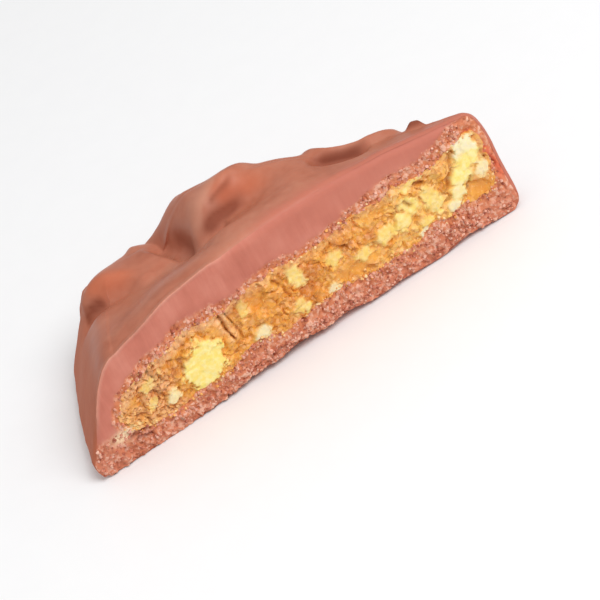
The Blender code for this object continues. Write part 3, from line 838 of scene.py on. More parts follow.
class Shader:
    """Builds one material's nodes."""

    def __init__(self, name: str) -> None:
        """Starts a material with its Principled shader."""
        self.material = bpy.data.materials.new(name)
        self.material.use_nodes = True
        self.tree = self.material.node_tree
        self.surface = self.tree.nodes["Principled BSDF"]
        self.places = self.add("ShaderNodeTexCoord", {}, {}, "Object")

    def add(self, kind: str, settings: dict, inputs: object, output: object = 0) -> Value:
        """Adds a node.

        Args:
            kind: the node's type.
            settings: values set on the node itself.
            inputs: values or links by socket name, or in order.
            output: the name or number of the socket to return.

        Returns:
            The chosen output.
        """
        node = self.tree.nodes.new(kind)
        for key, value in settings.items():
            setattr(node, key, value)
        pairs = inputs.items() if isinstance(inputs, dict) else enumerate(inputs)
        for key, value in pairs:
            self.plug(node.inputs[key], value)
        return Value(self, node.outputs[output])

    def plug(self, socket: bpy.types.NodeSocket, value: object) -> None:
        """Sets a socket to a number or colour, or links it."""
        if isinstance(value, Value):
            self.tree.links.new(value.socket, socket)
        elif isinstance(value, tuple) and len(value) == 3 and socket.type == "RGBA":
            socket.default_value = (*value, 1.0)
        else:
            socket.default_value = value

    def grain(self, size_mm: float, detail: float = 2.0) -> Value:
        """Noise from 0 to 1 with grains of a size."""
        inputs = {"Vector": self.places, "Scale": 1.0 / (size_mm * MM), "Detail": detail}
        return self.add("ShaderNodeTexNoise", {}, inputs, "Fac")

    def streaks(self, lengths_mm: tuple, **settings: float) -> Value:
        """Noise from 0 to 1 drawn out to lengths that differ along X, Y and Z."""
        scale = tuple(1.0 / (length * MM) for length in lengths_mm)
        places = self.add("ShaderNodeMapping", {}, {"Vector": self.places, "Scale": scale})
        inputs = {"Vector": places, "Scale": 1.0, "Detail": 4.0, **settings}
        return self.add("ShaderNodeTexNoise", {}, inputs, "Fac")

    def cells(self, size_mm: float, output: str = "Color") -> Value:
        """A random value for each cell of a size, or the distance from the cell's middle."""
        inputs = {"Vector": self.places, "Scale": 1.0 / (size_mm * MM)}
        return self.add("ShaderNodeTexVoronoi", {}, inputs, output)

    def kept(self, name: str) -> Value:
        """A value that the mesh keeps for its points."""
        return self.add("ShaderNodeAttribute", {"attribute_name": name}, {}, "Fac")

    def ramp(self, tone: Value, *stops: tuple) -> Value:
        """A colour from a tone, by (place, colour) stops."""
        colour = self.add("ShaderNodeValToRGB", {}, [tone], "Color")
        elements = colour.socket.node.color_ramp.elements
        while len(elements) < len(stops):
            elements.new(1.0)
        for element, (place, stop) in zip(elements, stops):
            element.position = place
            element.color = (*stop, 1.0)
        return colour

    def mix(self, share: object, first: object, second: object) -> Value:
        """A colour between two."""
        inputs = {0: share, 6: first, 7: second}
        return self.add("ShaderNodeMix", {"data_type": "RGBA"}, inputs, 2)

    def layers(self, colour: Value, *coats: tuple) -> Value:
        """A colour under (share, colour) coats, laid one over the other."""
        for share, coat in coats:
            colour = self.mix(share, colour, coat)
        return colour

    def relief(self, height: Value, depth_mm: float, strength: float) -> Value:
        """A normal from a height that changes by depth_mm from 0 to 1."""
        inputs = {"Height": height, "Distance": depth_mm * MM, "Strength": strength}
        return self.add("ShaderNodeBump", {}, inputs, "Normal")

    def surface_set(self, **inputs: object) -> None:
        """Sets the Principled shader's sockets; underscores in names stand for spaces."""
        for key, value in inputs.items():
            self.plug(self.surface.inputs[key.replace("_", " ")], value)


@dataclass(frozen=True)
class ChocolateFinish:
    """What the two finishes of the coat share."""

    edge: tuple = (0.540, 0.165, 0.110)
    flesh_weight: float = 0.08
    flesh_radius: tuple = (0.6, 0.25, 0.15)

    def dress(self, shader: Shader, **inputs: object) -> bpy.types.Material:
        """Sets the surface, with light that passes a little way through the chocolate."""
        shader.surface_set(
            Subsurface_Weight=self.flesh_weight,
            Subsurface_Radius=self.flesh_radius,
            Subsurface_Scale=MM,
            **inputs,
        )
        return shader.material


@dataclass(frozen=True)
class SkinFinish(ChocolateFinish):
    """Dipped milk chocolate: satin, with soft changes of tone, pale streaks where the cocoa butter has
    bloomed, and shade, bounced light and sheen painted into its colour.
    """

    deep: tuple = (0.370, 0.106, 0.054)
    middle: tuple = (0.470, 0.158, 0.092)
    light: tuple = (0.540, 0.215, 0.135)
    # Colour of the painted shade in pits and creases.
    pit: tuple = (0.190, 0.042, 0.021)
    # Colour of the painted glow of bounced light, between folds and on the lower walls.
    painted_glow: tuple = (0.600, 0.150, 0.065)
    # Pale colour of the cocoa-butter streaks, also used for the painted sheen on a crest and the painted
    # highlight on the burr.
    bloom_and_sheen: tuple = (0.620, 0.340, 0.240)

    def make(self) -> bpy.types.Material:
        """Builds the material."""
        shader = Shader("dipped_chocolate")
        broad = shader.grain(7.0, 3.0)
        fine = shader.grain(0.9, 4.0)
        smear = shader.streaks((5.0, 2.0, 5.0), Distortion=0.6)
        pit = shader.kept("pit")
        side = shader.kept("side")
        tone = broad * 0.75 + fine * 0.25
        colour = shader.layers(
            shader.ramp(tone, (0.30, self.deep), (0.50, self.middle), (0.72, self.light)),
            (smear.between(0.52, 0.80) * 0.22, self.bloom_and_sheen),
            # Painted sheen on the crest.
            (shader.kept("painted_sheen") * 0.35, self.bloom_and_sheen),
            # Painted glow of light bounced between folds.
            (shader.kept("painted_glow") * 0.6, self.painted_glow),
            # Painted shade: pits and creases darkened where shade falls, and the knob made darker.
            (pit * 0.75, self.pit),
            # Painted shade on the lower walls: a deeper orange, as if lit only by light bounced off the
            # chocolate.
            (side * 0.35, self.painted_glow),
            (shader.kept("blend"), self.edge),
            # Painted highlight: pale colour along the burr on the skin side.
            (shader.kept("burr") * 0.20, self.bloom_and_sheen),
        )
        height = fine * 0.5 + shader.grain(0.25) * 0.2 + broad * 0.3
        return self.dress(
            shader,
            Base_Color=colour,
            Roughness=0.34 + fine * 0.16 + smear.between(0.5, 0.8) * 0.08 + side * 0.35 + pit * 0.45,
            Normal=shader.relief(height, 0.05, 0.5),
            IOR=1.35,
            Specular_IOR_Level=0.45,
        )


@dataclass(frozen=True)
class CutFinish(ChocolateFinish):
    """Chocolate where the knife went through: matte and pinkish, streaked, and crumbly where rough, with
    shade painted into its cracks and a highlight painted pale on the burr.
    """

    middle: tuple = (0.570, 0.180, 0.122)
    deep: tuple = (0.470, 0.132, 0.086)
    light: tuple = (0.660, 0.245, 0.175)
    pale: tuple = (0.880, 0.560, 0.420)
    dark: tuple = (0.300, 0.060, 0.028)
    orange: tuple = (0.740, 0.240, 0.080)
    red: tuple = (0.790, 0.170, 0.080)
    sugar: tuple = (0.930, 0.690, 0.440)

    def make(self) -> bpy.types.Material:
        """Builds the material."""
        shader = Shader("cut_chocolate")
        rough = shader.kept("rough")
        streaks = shader.streaks((0.55, 3.0, 4.5), Roughness=0.6)
        speck = shader.grain(0.34, 3.0)
        crumb = shader.kept("crumb") * 0.35 + shader.cells(0.30) * 0.45 + speck * 0.20
        tone = streaks * 0.30 + shader.grain(4.0, 3.0) * 0.70
        colour = shader.layers(
            shader.ramp(tone, (0.30, self.deep), (0.50, self.middle), (0.72, self.light)),
            (shader.kept("blend"), self.edge),
            (rough * (0.32 + 0.5 * shader.kept("near_toffee")), self.orange),
            (crumb.between(0.46, 0.72) * rough * 0.65, self.pale),
            (shader.kept("red"), self.red),
            (shader.kept("sugar") * crumb.between(0.22, 0.40), self.sugar),
            ((1.0 - crumb).between(0.57, 0.80) * rough * 0.50, self.dark),
            # Painted shade: the cracks darkened where shade falls in them.
            (shader.kept("crack") * 0.8, self.dark),
            # Painted highlight: pale colour along the burr.
            (shader.kept("burr") * 0.25, self.pale),
        )
        grit = (1.0 - shader.cells(0.30, "Distance")) * rough
        height = streaks * 0.15 + speck * 0.45 + grit * 0.40
        return self.dress(
            shader,
            Base_Color=colour,
            Roughness=0.58 + speck * 0.2,
            Normal=shader.relief(height, 0.07, 0.6),
            IOR=1.45,
        )


@dataclass(frozen=True)
class ToffeeFinish:
    """Brittle toffee where cut: amber and gold crystals with pale sugar lumps, and shade painted dark into
    the grooves, cracks and holes.
    """

    amber: tuple = (0.720, 0.235, 0.022)
    gold: tuple = (0.870, 0.400, 0.055)
    honey: tuple = (0.930, 0.590, 0.170)
    pale: tuple = (0.940, 0.730, 0.170)
    white: tuple = (0.960, 0.820, 0.350)
    cream: tuple = (0.900, 0.800, 0.520)
    peach: tuple = (0.920, 0.520, 0.260)
    # Dark colour for random dark crystals and for the shade painted into grooves, cracks and holes.
    dark_and_shade: tuple = (0.400, 0.100, 0.014)

    def make(self) -> bpy.types.Material:
        """Builds the material."""
        shader = Shader("brittle_toffee_cut")
        fine = shader.grain(0.45, 3.0)
        speck = shader.grain(0.16)
        cell = shader.cells(0.34)
        grainy = 1.0 - 0.8 * shader.kept("glassy")
        tone = shader.kept("tone") * 0.7 + fine * 0.3
        lump = shader.mix(fine.between(0.35, 0.70), self.pale, self.white)
        lump = shader.mix(shader.kept("white") * (0.5 + fine), lump, self.cream)
        colour = shader.layers(
            shader.ramp(tone, (0.20, self.amber), (0.48, self.gold), (0.78, self.honey)),
            (cell.between(0.58, 0.78) * grainy * 0.40, self.peach),
            # Random crystals made darker.
            ((1.0 - cell).between(0.60, 0.80) * grainy * 0.45, self.dark_and_shade),
            (shader.kept("peach") * (0.4 + 0.6 * fine), self.peach),
            (shader.kept("pale"), lump),
            # Painted shade in grooves, cracks and holes, and the darker spots.
            (shader.kept("dark_and_shade") * 0.75, self.dark_and_shade),
            (speck.between(0.58, 0.72) * 0.3, self.white),
        )
        shader.surface_set(
            Base_Color=colour,
            Roughness=0.30 + fine * 0.25,
            Normal=shader.relief(fine * 0.4 + speck * 0.3 + cell * 0.3, 0.08, 0.6),
            Subsurface_Weight=0.15,
            Subsurface_Radius=(1.0, 0.6, 0.2),
            Subsurface_Scale=MM,
            IOR=1.5,
        )
        return shader.material


@dataclass(frozen=True)
class CrumbFinish:
    """Loose crumbs in tones from dark to pale, by the value that each crumb keeps."""

    name: str
    dark: tuple
    middle: tuple
    pale: tuple
    roughness: float

    def make(self) -> bpy.types.Material:
        """Builds the material."""
        shader = Shader(self.name)
        fine = shader.grain(0.3)
        tone = shader.kept("shade") * 0.85 + fine * 0.15
        shader.surface_set(
            Base_Color=shader.ramp(tone, (0.10, self.dark), (0.50, self.middle), (0.92, self.pale)),
            Roughness=self.roughness + fine * 0.15,
            Normal=shader.relief(fine, 0.04, 0.5),
            Subsurface_Weight=0.1,
            Subsurface_Radius=(0.6, 0.3, 0.15),
            Subsurface_Scale=0.8 * MM,
        )
        return shader.material


@dataclass
class CoatPiece:
    """The chocolate coat with its folds, its cut face and the pocket for the toffee."""

    bar: BarForm
    slab: SlabForm
    grid: tuple = (300, 56, 60)
    pocket_grid: tuple = (170, 4, 26)
    pocket_fit: float = -0.04
    mouth: float = 3.0
    ripple: tuple = ((0.05, 2.4, 5), (0.025, 1.0, 6))
    # Painted shade on the walls: where this is 1, up to about half their height, the skin is painted a deeper
    # orange and made rougher; it is 0 from three quarters up.
    side: Ramp = Ramp(0.75, -0.3)
    edge_round: float = 1.1
    edge_low: Ramp = Ramp(0.6, 2.0)
    edge_least: float = 0.02
    corner_share: float = 0.29
    burr_height: float = 0.16
    front_burr: float = 0.10
    burr_width: float = 0.40
    burr_sharpness: float = 0.85
    burr_end: Ramp = Ramp(20.5, -5.0)
    burr_low: Ramp = Ramp(4.0, 3.0)
    burr_waves: tuple = ((0.5, 1.4, 8), (0.3, 0.45, 9))
    rough_reach: float = 0.825
    rough_wander: tuple = ((0.5, 1.2, 12), (0.35, 0.4, 13))
    rough_right: Ramp = Ramp(26.0, 12.0)
    rough_left: Span = Span(4.0, 3.0, 18.0, 3.0)
    rough_around: Ramp = Ramp(-0.15, 0.5)
    rough_below: Ramp = Ramp(0.5, -0.8)
    corner_right: Ramp = Ramp(6.0, -2.0)
    corner_top: Ramp = Ramp(3.6, -1.2)
    right_end: Ramp = Ramp(43.6, 1.2)
    calm_waves: tuple = ((0.07, 6.0, 14), (0.035, 1.6, 15))
    streak_stretch: tuple = (1.0, 9.0)
    streak_waves: tuple = ((0.015, 0.45, 16), (0.012, 0.9, 17))
    large_crumbs: Cells = Cells(0.75, 3)
    small_crumbs: Cells = Cells(0.38, 4)
    crumb_depth: float = 0.26
    settle_width: float = 0.5
    sugar: Swell = Swell(2.8, 3.15, 1.0, 0.55, 2.0)
    sugar_reach: float = 1.4
    red_path: tuple = ((44.0, 11.3), (44.8, 9.6), (45.2, 7.8), (45.6, 6.0), (45.8, 4.5), (45.9, 3.4))
    red_width: float = 0.36
    # Short cracks in the lower band, cut in and painted dark with shade.
    cracks: tuple = (
        ((2.9, 2.2), (3.7, 2.6), (4.6, 2.6), (5.4, 2.1)), ((3.2, 1.8), (4.3, 1.9), (5.5, 1.3)),
        ((18.4, 1.0), (19.2, 1.4), (20.0, 1.3)), ((44.4, 10.3), (44.7, 9.7), (44.9, 9.0)),
        ((45.2, 7.0), (45.5, 6.2), (45.7, 5.5)),
    )
    crack_width: float = 0.18
    crack_depth: float = 0.30
    base_edge: tuple = (
        (-1.0, 0.1), (2.0, 0.1), (6.0, 0.0), (10.0, 0.1), (13.5, 0.3), (16.7, 0.7), (19.0, 0.65),
        (21.6, 1.0), (24.4, 0.7), (26.8, 0.9), (29.5, 0.4), (33.0, 0.45), (37.0, 0.15), (40.7, 0.6),
        (43.5, 0.2), (46.6, 0.0),
    )
    base_tear: float = 0.22
    base_reach: float = 2.0
    blend_from: Ramp = Ramp(19.0, 6.0)
    blend_reach: float = 2.4
    shade_angle: float = 75.0

    def skin_places(self) -> tuple[Array, dict[str, Array]]:
        """Every surface point of the coat in the layout, and its tints, by the three indices of the block."""
        nx, ny, nz = self.grid
        place, normal, unrolled = self.bar.bare_skin(self.grid)
        skin = np.zeros(place.shape[:3], bool)
        skin[0], skin[nx], skin[:, ny], skin[:, :, nz] = True, True, True, True
        across, up = self.bar.crowded(ny), np.linspace(0.0, 1.0, nz + 1)
        shares = np.meshgrid(np.linspace(0.0, 1.0, nx + 1), across, up, indexing="ij")
        u, v, level = (share[skin] for share in shares)
        end_bow = self.bar.end_bow * (u == 0) * np.sin(np.pi * v)
        back_bow = self.bar.back_bow * (v == 1) * np.sin(np.pi * u)
        bow = (end_bow + back_bow) * np.sin(np.pi * np.clip(level / self.bar.bow_top, 0.0, 1.0))
        plan = unrolled[skin]
        lift = self.bar.relief(plan) + bow + mixed_waves(plan, self.ripple)
        place[skin] += normal[skin] * (lift * smooth(level / self.bar.foot_level))[:, None]
        place[skin] += self.edge_shift(place[skin], normal[skin], level)
        place[:, 0, :, 1] = 0.0
        place[:, :, 0, 2] = 0.0
        place[:, 0] = filled(place[0, 0], place[nx, 0], place[:, 0, 0], place[:, 0, nz], up)
        place[:, :, 0] = filled(place[0, :, 0], place[nx, :, 0], place[:, 0, 0], place[:, ny, 0], across)
        # The tints include the painted shade of the lower walls.
        tints = {**self.bar.tints(plan), "side": self.side.share(level)}
        return place, {name: spread(skin, share) for name, share in tints.items()}

    def edge_radius(self, x: Array, z: Array) -> Array:
        """How round the edge between the skin and the cut is: sharp on the left, soft on the right."""
        blunt = 1.0 - self.burr_sharpness * self.burr_share(x, z)
        return self.edge_round * blunt * self.edge_low.share(z) + self.edge_least

    def burr_share(self, x: Array, z: Array) -> Array:
        """1 where the knife raised a burr on the edge and 0 where it didn't."""
        return self.burr_end.share(x) * self.burr_low.share(z)

    @staticmethod
    def rounded_away(radius: Array, distance: Array) -> Array:
        """How far a rounded edge lies inside the sharp one, at a distance from the sharp edge."""
        near = np.clip(radius - distance, 0.0, radius)
        return radius - np.sqrt(radius ** 2 - near ** 2)

    def edge_shift(self, points: Array, normal: Array, level: Array) -> Array:
        """The knife's rounding of the skin's edge at the cut, and its raised burr on the left."""
        x, y, z = points.T
        radius = self.edge_radius(x, z)
        spared = self.corner_share * radius
        behind = np.where(y < radius, spared + (1.0 - self.corner_share) * y, y)
        drop = self.rounded_away(radius, behind) * (level > 0.0)
        uneven = 0.65 + mixed_waves(points[:, ::2], self.burr_waves)
        burr = self.burr_height * self.burr_share(x, z) * uneven * fading(y, self.burr_width)
        shift = normal * (burr - drop)[:, None]
        shift[:, 1] += (behind - y) * (level > 0.0)
        return shift

    def roughness_at(self, plane: Array, inside: Array) -> Array:
        """How crumbly the cut chocolate is at each place of the cut plane, from 0 to 1."""
        x, z = plane[..., 0], plane[..., 1]
        wander = mixed_waves(plane, self.rough_wander)
        wide = np.maximum(self.rough_right.share(x), 0.5 * self.rough_left.share(x))
        around = self.rough_around.share(self.rough_reach * (1.0 + wide) + inside, wander)
        below = self.rough_below.share(z - through(self.slab.low, x), 0.4 * wander)
        corner = self.corner_top.share(z - 0.5 * wander) * self.corner_right.share(x)
        right = self.right_end.share(x, 0.5 * wander)
        return np.clip(np.maximum.reduce([around, below, corner, right]), 0.0, 1.0)

    def cut_relief(self, plane: Array, rough: Array, rim: Array) -> Array:
        """How far the cut face stands out of the cut plane.

        Args:
            plane: places in the cut plane.
            rough: how crumbly each place is.
            rim: how far each place is from the face's outer rim.

        Returns:
            The height towards the viewer of the cut, in millimetres.
        """
        streaks = mixed_waves(plane / np.array(self.streak_stretch), self.streak_waves)
        crumbs = np.zeros(plane.shape[:-1])
        for cells, depth in ((self.large_crumbs, 1.0), (self.small_crumbs, 0.7)):
            value, slope, middle = cells.around(plane)
            crumbs += depth * ((value - 0.6) + 0.5 * slope - 0.35 * (1.0 - smooth(middle / 0.5)))
        settle = smooth(rim / self.settle_width)
        calm = (mixed_waves(plane, self.calm_waves) + streaks * (1.0 - rough)) * (0.3 + 0.7 * settle)
        torn = self.crack_depth * (self.crack_share(plane) + 0.8 * self.red_share(plane))
        return calm + self.crumb_depth * crumbs * rough * (0.35 + 0.65 * settle) - torn * settle

    def crack_share(self, plane: Array) -> Array:
        """1 in the short cracks of the lower band and 0 away from them."""
        moved = plane + 0.15 * waves(plane, 0.8, 27)[..., None]
        return np.maximum.reduce([line_share(crack, self.crack_width, moved) for crack in self.cracks])

    def red_share(self, plane: Array) -> Array:
        """1 where the coat parted from the toffee at the right end, and 0 away from there."""
        return line_share(self.red_path, self.red_width, plane + 0.2 * waves(plane, 1.0, 28)[..., None])

    def crumb_tone(self, plane: Array) -> Array:
        """A tone from 0 to 1 for the crumb at each place of the cut plane."""
        return 0.4 * self.large_crumbs.around(plane)[0] + 0.6 * self.small_crumbs.around(plane)[0]

    def notch(self, points: Array) -> Array:
        """How far the torn lower edge of the cut lifts each point."""
        torn = through(self.base_edge, points[:, 0]) + self.base_tear * np.abs(waves(points[:, :2], 0.6, 20))
        return torn * fading(points[:, 2], self.base_reach) * fading(points[:, 1], self.base_reach)

    def build(self, place: Placement) -> None:
        """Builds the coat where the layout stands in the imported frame."""
        places, tints = self.skin_places()
        coat = Mesher.divided_block("coat", self.grid, places, tints)
        finishes = (SkinFinish().make(), CutFinish().make())
        Mesher.paint(coat, finishes, self.front_faces(coat))
        self.cut_pocket(coat, finishes)
        self.dress_cut(coat, places)
        Mesher.move(coat, place.metres(Mesher.points(coat)))
        Mesher.shade(coat, self.shade_angle)
        Mesher.finish(coat, "chocolate_coat", "milk_chocolate")

    @staticmethod
    def front_faces(thing: Thing) -> Array:
        """Which faces lie in the cut plane."""
        centres, normals = (Mesher.vectors(thing.data.polygons, key) for key in ("center", "normal"))
        return (np.abs(centres[:, 1]) < 0.1 * FRONT_GAP) & (normals[:, 1] < -0.99)

    def cut_pocket(self, coat: Thing, finishes: tuple) -> None:
        """Cuts the slab's pocket into the coat."""
        pocket = self.slab.places(self.pocket_grid, self.pocket_fit)
        mouth = pocket[:, :1] - (0.0, self.mouth, 0.0)
        nx, ny, nz = self.pocket_grid
        cutter = Mesher.divided_block("pocket", (nx, ny + 1, nz), np.concatenate([mouth, pocket], 1))
        Mesher.paint(cutter, finishes, True)
        Mesher.carve(coat, cutter)

    def dress_cut(self, coat: Thing, places: Array) -> None:
        """Gives the cut face its crumbs, streaks and burr, and keeps the values that the finishes read."""
        points = Mesher.points(coat)
        front = np.abs(points[:, 1]) < FRONT_GAP
        plane = points[front][:, ::2]
        rim_line = np.concatenate([places[0, 0], places[1:, 0, -1], places[-1, 0, ::-1][1:]])[:, ::2]
        rim = np.abs(offset_from(rim_line[::3], plane)[0])
        inside = self.slab.inside(plane)
        rough = self.roughness_at(plane, inside)
        burr = self.burr_share(*plane.T) * fading(rim, self.burr_width)
        radius = self.edge_radius(*plane.T)
        drop = self.rounded_away(radius, self.corner_share * radius + rim)
        points[front, 1] -= self.cut_relief(plane, rough, rim) + self.front_burr * burr - drop
        points[:, 2] += self.notch(points)
        Mesher.move(coat, points)
        # Where the burr gets its painted highlight, on the skin and on the cut face.
        burr_highlight = self.burr_share(points[:, 0], points[:, 2]) * fading(points[:, 1], self.burr_width)
        burr_highlight[front] = burr
        values = {
            "near_toffee": np.exp(-np.maximum(-inside, 0.0) / self.sugar_reach),
            "red": self.red_share(plane),
            "crack": self.crack_share(plane),
            "sugar": np.clip(self.sugar.lift(plane), 0.0, 1.0),
            "rough": rough,
        }
        kept = {name: spread(front, found) for name, found in values.items()}
        kept["crumb"] = spread(front, self.crumb_tone(plane), 0.5)
        kept["burr"] = burr_highlight
        kept["blend"] = self.blend(points, front, rim, kept["rough"])
        Mesher.store(coat, kept)

    def blend(self, points: Array, front: Array, rim: Array, rough: Array) -> Array:
        """How much each point near the soft edge on the right takes the colour that skin and cut share.

        Args:
            points: the coat's points in the layout.
            front: which of them are on the cut face.
            rim: how far each point of the cut face is from its outer rim.
            rough: how crumbly each point is.

        Returns:
            The share from 0 to 1 of each point.
        """
        away = np.maximum(points[:, 1], 0.0)
        away[front] = 0.6 * rim
        away = away + 0.5 * waves(points, 1.6, 23)
        share = self.blend_from.share(points[:, 0]) * smooth(fading(away, self.blend_reach))
        return 0.85 * share * (1.0 - 0.7 * rough) * (1.0 - 0.6 * self.right_end.share(points[:, 0]) * front)


@dataclass(frozen=True)
class SugarLump:
    """A blocky lump of pale sugar in the cut face: its middle, half sizes, turn and paleness."""

    x: float
    z: float
    half_width: float
    half_height: float
    turn: float
    strength: float
    whiteness: float = 0.0
    squareness: float = 3.2
    softness: float = 0.50
    reach: float = 1.15

    def cover(self, plane: Array, uneven: Array) -> Array:
        """1 inside the lump and 0 outside, with an uneven border."""
        away = plane - (self.x, self.z)
        turn = math.radians(self.turn)
        across = np.abs(away[..., 0] * math.cos(turn) + away[..., 1] * math.sin(turn)) / self.half_width
        up = np.abs(away[..., 1] * math.cos(turn) - away[..., 0] * math.sin(turn)) / self.half_height
        reach = (across ** self.squareness + up ** self.squareness) ** (1.0 / self.squareness)
        return smooth((self.reach - reach + uneven) / self.softness)


@dataclass(frozen=True)
class FaceParts:
    """What lies at each place of the toffee's cut face, most of it as shares from 0 to 1.

    The crystals of three sizes are given by their value, their slope and how close the place is to their
    border. The distance inside the toffee's outline is in millimetres.
    """

    crumbly: Array
    large: tuple
    middling: tuple
    small: tuple
    pale: Array
    white: Array
    glassy: Array
    crack: Array
    # Where a painted highlight lines the cracks.
    rim: Array
    hole: Array
    inside: Array

    @property
    def grainy(self) -> Array:
        """How much of the crystals' grain is left beside sugar lumps and glassy places."""
        return (1.0 - 0.85 * smooth(self.pale / 0.8)) * (1.0 - 0.8 * self.glassy)

    @property
    def groove(self) -> Array:
        """The grooves between crystals, which are deeper where it is crumbly."""
        edge = 1.0 - smooth(self.middling[2] / 0.45)
        seam = 1.0 - smooth(self.large[2] / 0.16)
        return np.clip(edge * (0.25 + 0.55 * self.crumbly) + 0.5 * seam, 0.0, 1.0)


@dataclass
class ToffeePiece:
    """The slab of brittle toffee, with crystals and sugar lumps standing out of its cut face."""

    slab: SlabForm
    grid: tuple = (360, 3, 60)
    recess: float = 0.10
    large: Cells = Cells(1.9, 11)
    middling: Cells = Cells(0.8, 12)
    small: Cells = Cells(0.36, 13)
    chips: Cells = Cells(0.52, 14)
    crystal_border: float = 0.35
    crystal_ridge: Span = Span(0.0, 0.2, 0.70, 0.35)
    crumbly_end: Ramp = Ramp(10.0, -1.4)
    lumps: tuple = tuple(SugarLump(*sizes) for sizes in (
        (12.5, 5.0, 2.0, 2.7, -20.0, 1.0, 0.0, 1.5, 0.24), (43.5, 9.7, 1.3, 1.1, 0.0, 1.0, 0.9),
        (43.2, 8.3, 1.5, 1.3, 30.0, 1.0), (42.2, 6.9, 1.3, 1.2, 25.0, 1.0),
        (41.2, 5.5, 0.9, 1.0, 10.0, 0.95, 0.5), (40.4, 4.4, 0.8, 0.7, 0.0, 0.9, 0.9),
        (44.2, 6.4, 0.7, 1.0, 5.0, 0.85, 0.8), (3.3, 3.2, 0.9, 0.6, -20.0, 0.8, 0.9),
        (38.5, 6.4, 0.9, 1.7, 15.0, 0.65), (37.3, 9.3, 1.6, 0.4, 15.0, 0.6),
        (36.3, 7.3, 0.9, 1.2, 35.0, 0.8), (34.9, 6.1, 1.2, 0.9, 40.0, 0.75),
        (33.0, 6.0, 1.1, 0.8, 20.0, 0.7), (30.5, 5.5, 0.9, 0.8, 0.0, 0.65),
        (27.7, 6.9, 0.8, 0.9, 35.0, 0.65), (23.8, 7.6, 0.8, 1.4, 10.0, 0.75),
        (18.0, 7.7, 0.6, 0.9, 0.0, 0.55), (22.9, 4.5, 0.9, 0.6, 30.0, 0.6),
        (8.6, 3.9, 0.7, 0.7, 0.0, 0.85, 0.7), (6.7, 6.3, 0.8, 0.6, 25.0, 0.6),
        (6.6, 4.5, 0.7, 0.5, 50.0, 0.55), (37.2, 4.6, 0.8, 0.6, 0.0, 0.6),
        (36.7, 3.7, 0.6, 0.5, 0.0, 0.9, 1.0), (18.7, 4.3, 0.9, 0.7, 40.0, 0.85, 0.9),
        (26.7, 4.1, 0.7, 0.5, 10.0, 0.8, 0.9), (23.5, 3.9, 0.5, 0.4, 0.0, 0.8),
    ))
    lump_height: float = 0.24
    crack: tuple = ((15.7, 9.4), (15.7, 8.4), (15.8, 7.3), (16.0, 6.1), (16.0, 5.0))
    thin_crack: tuple = ((16.3, 8.8), (16.5, 7.4), (16.7, 6.4), (16.9, 5.6), (16.9, 4.9))
    crack_depth: float = 0.45
    crack_width: float = 0.13
    crack_highlight: float = 0.7
    holes: tuple = (
        ((42.0, 10.0), (41.6, 8.8), (41.2, 7.8), (40.6, 6.9), (40.0, 5.9)),
        ((44.9, 8.3), (44.9, 7.5), (45.0, 6.7)), ((35.9, 8.2), (36.3, 7.6), (36.6, 7.0)),
        ((37.4, 9.1), (38.0, 8.8), (38.8, 8.4)),
        ((43.0, 6.6), (42.6, 5.8), (42.1, 5.0)), ((10.7, 7.0), (10.5, 6.2), (10.3, 5.4)),
        ((21.3, 8.8), (21.9, 8.2), (22.2, 7.4)), ((28.9, 7.6), (29.6, 6.9), (30.0, 6.2)),
    )
    hole_width: float = 0.22
    glassy: tuple = (
        Swell(43.3, 4.4, 1.7, 0.9, 1.2), Swell(29.2, 4.7, 2.4, 0.9, 1.2), Swell(19.2, 7.4, 1.8, 1.4, 0.9),
        Swell(33.0, 8.3, 1.5, 0.7, 0.8), Swell(14.8, 6.8, 0.8, 1.5, 0.8), Swell(4.9, 5.6, 1.1, 0.9, 0.9),
    )
    dark_spots: tuple = (
        Swell(17.3, 8.4, 0.7, 0.8, 0.9), Swell(38.2, 8.7, 0.4, 0.6, 0.6), Swell(31.8, 6.9, 0.5, 0.6, 0.6),
        Swell(24.6, 5.6, 0.8, 0.6, 0.5), Swell(11.4, 8.3, 0.8, 0.5, 0.5), Swell(9.9, 6.4, 0.5, 0.8, 0.6),
        Swell(25.3, 7.3, 0.9, 0.7, 0.8), Swell(7.3, 5.5, 1.2, 1.0, 0.6),
    )
    light_part: Span = Span(29.0, 6.0, 44.0, 3.0)
    deep_part: Span = Span(16.0, 3.0, 32.0, 4.0)
    fringe: Ramp = Ramp(1.2, -0.7)
    fringe_low: Ramp = Ramp(4.5, 1.5)
    fringe_left: Ramp = Ramp(19.0, -4.0)
    settle_width: float = 0.5
    tone_behind: float = 0.4
    shade_angle: float = 38.0

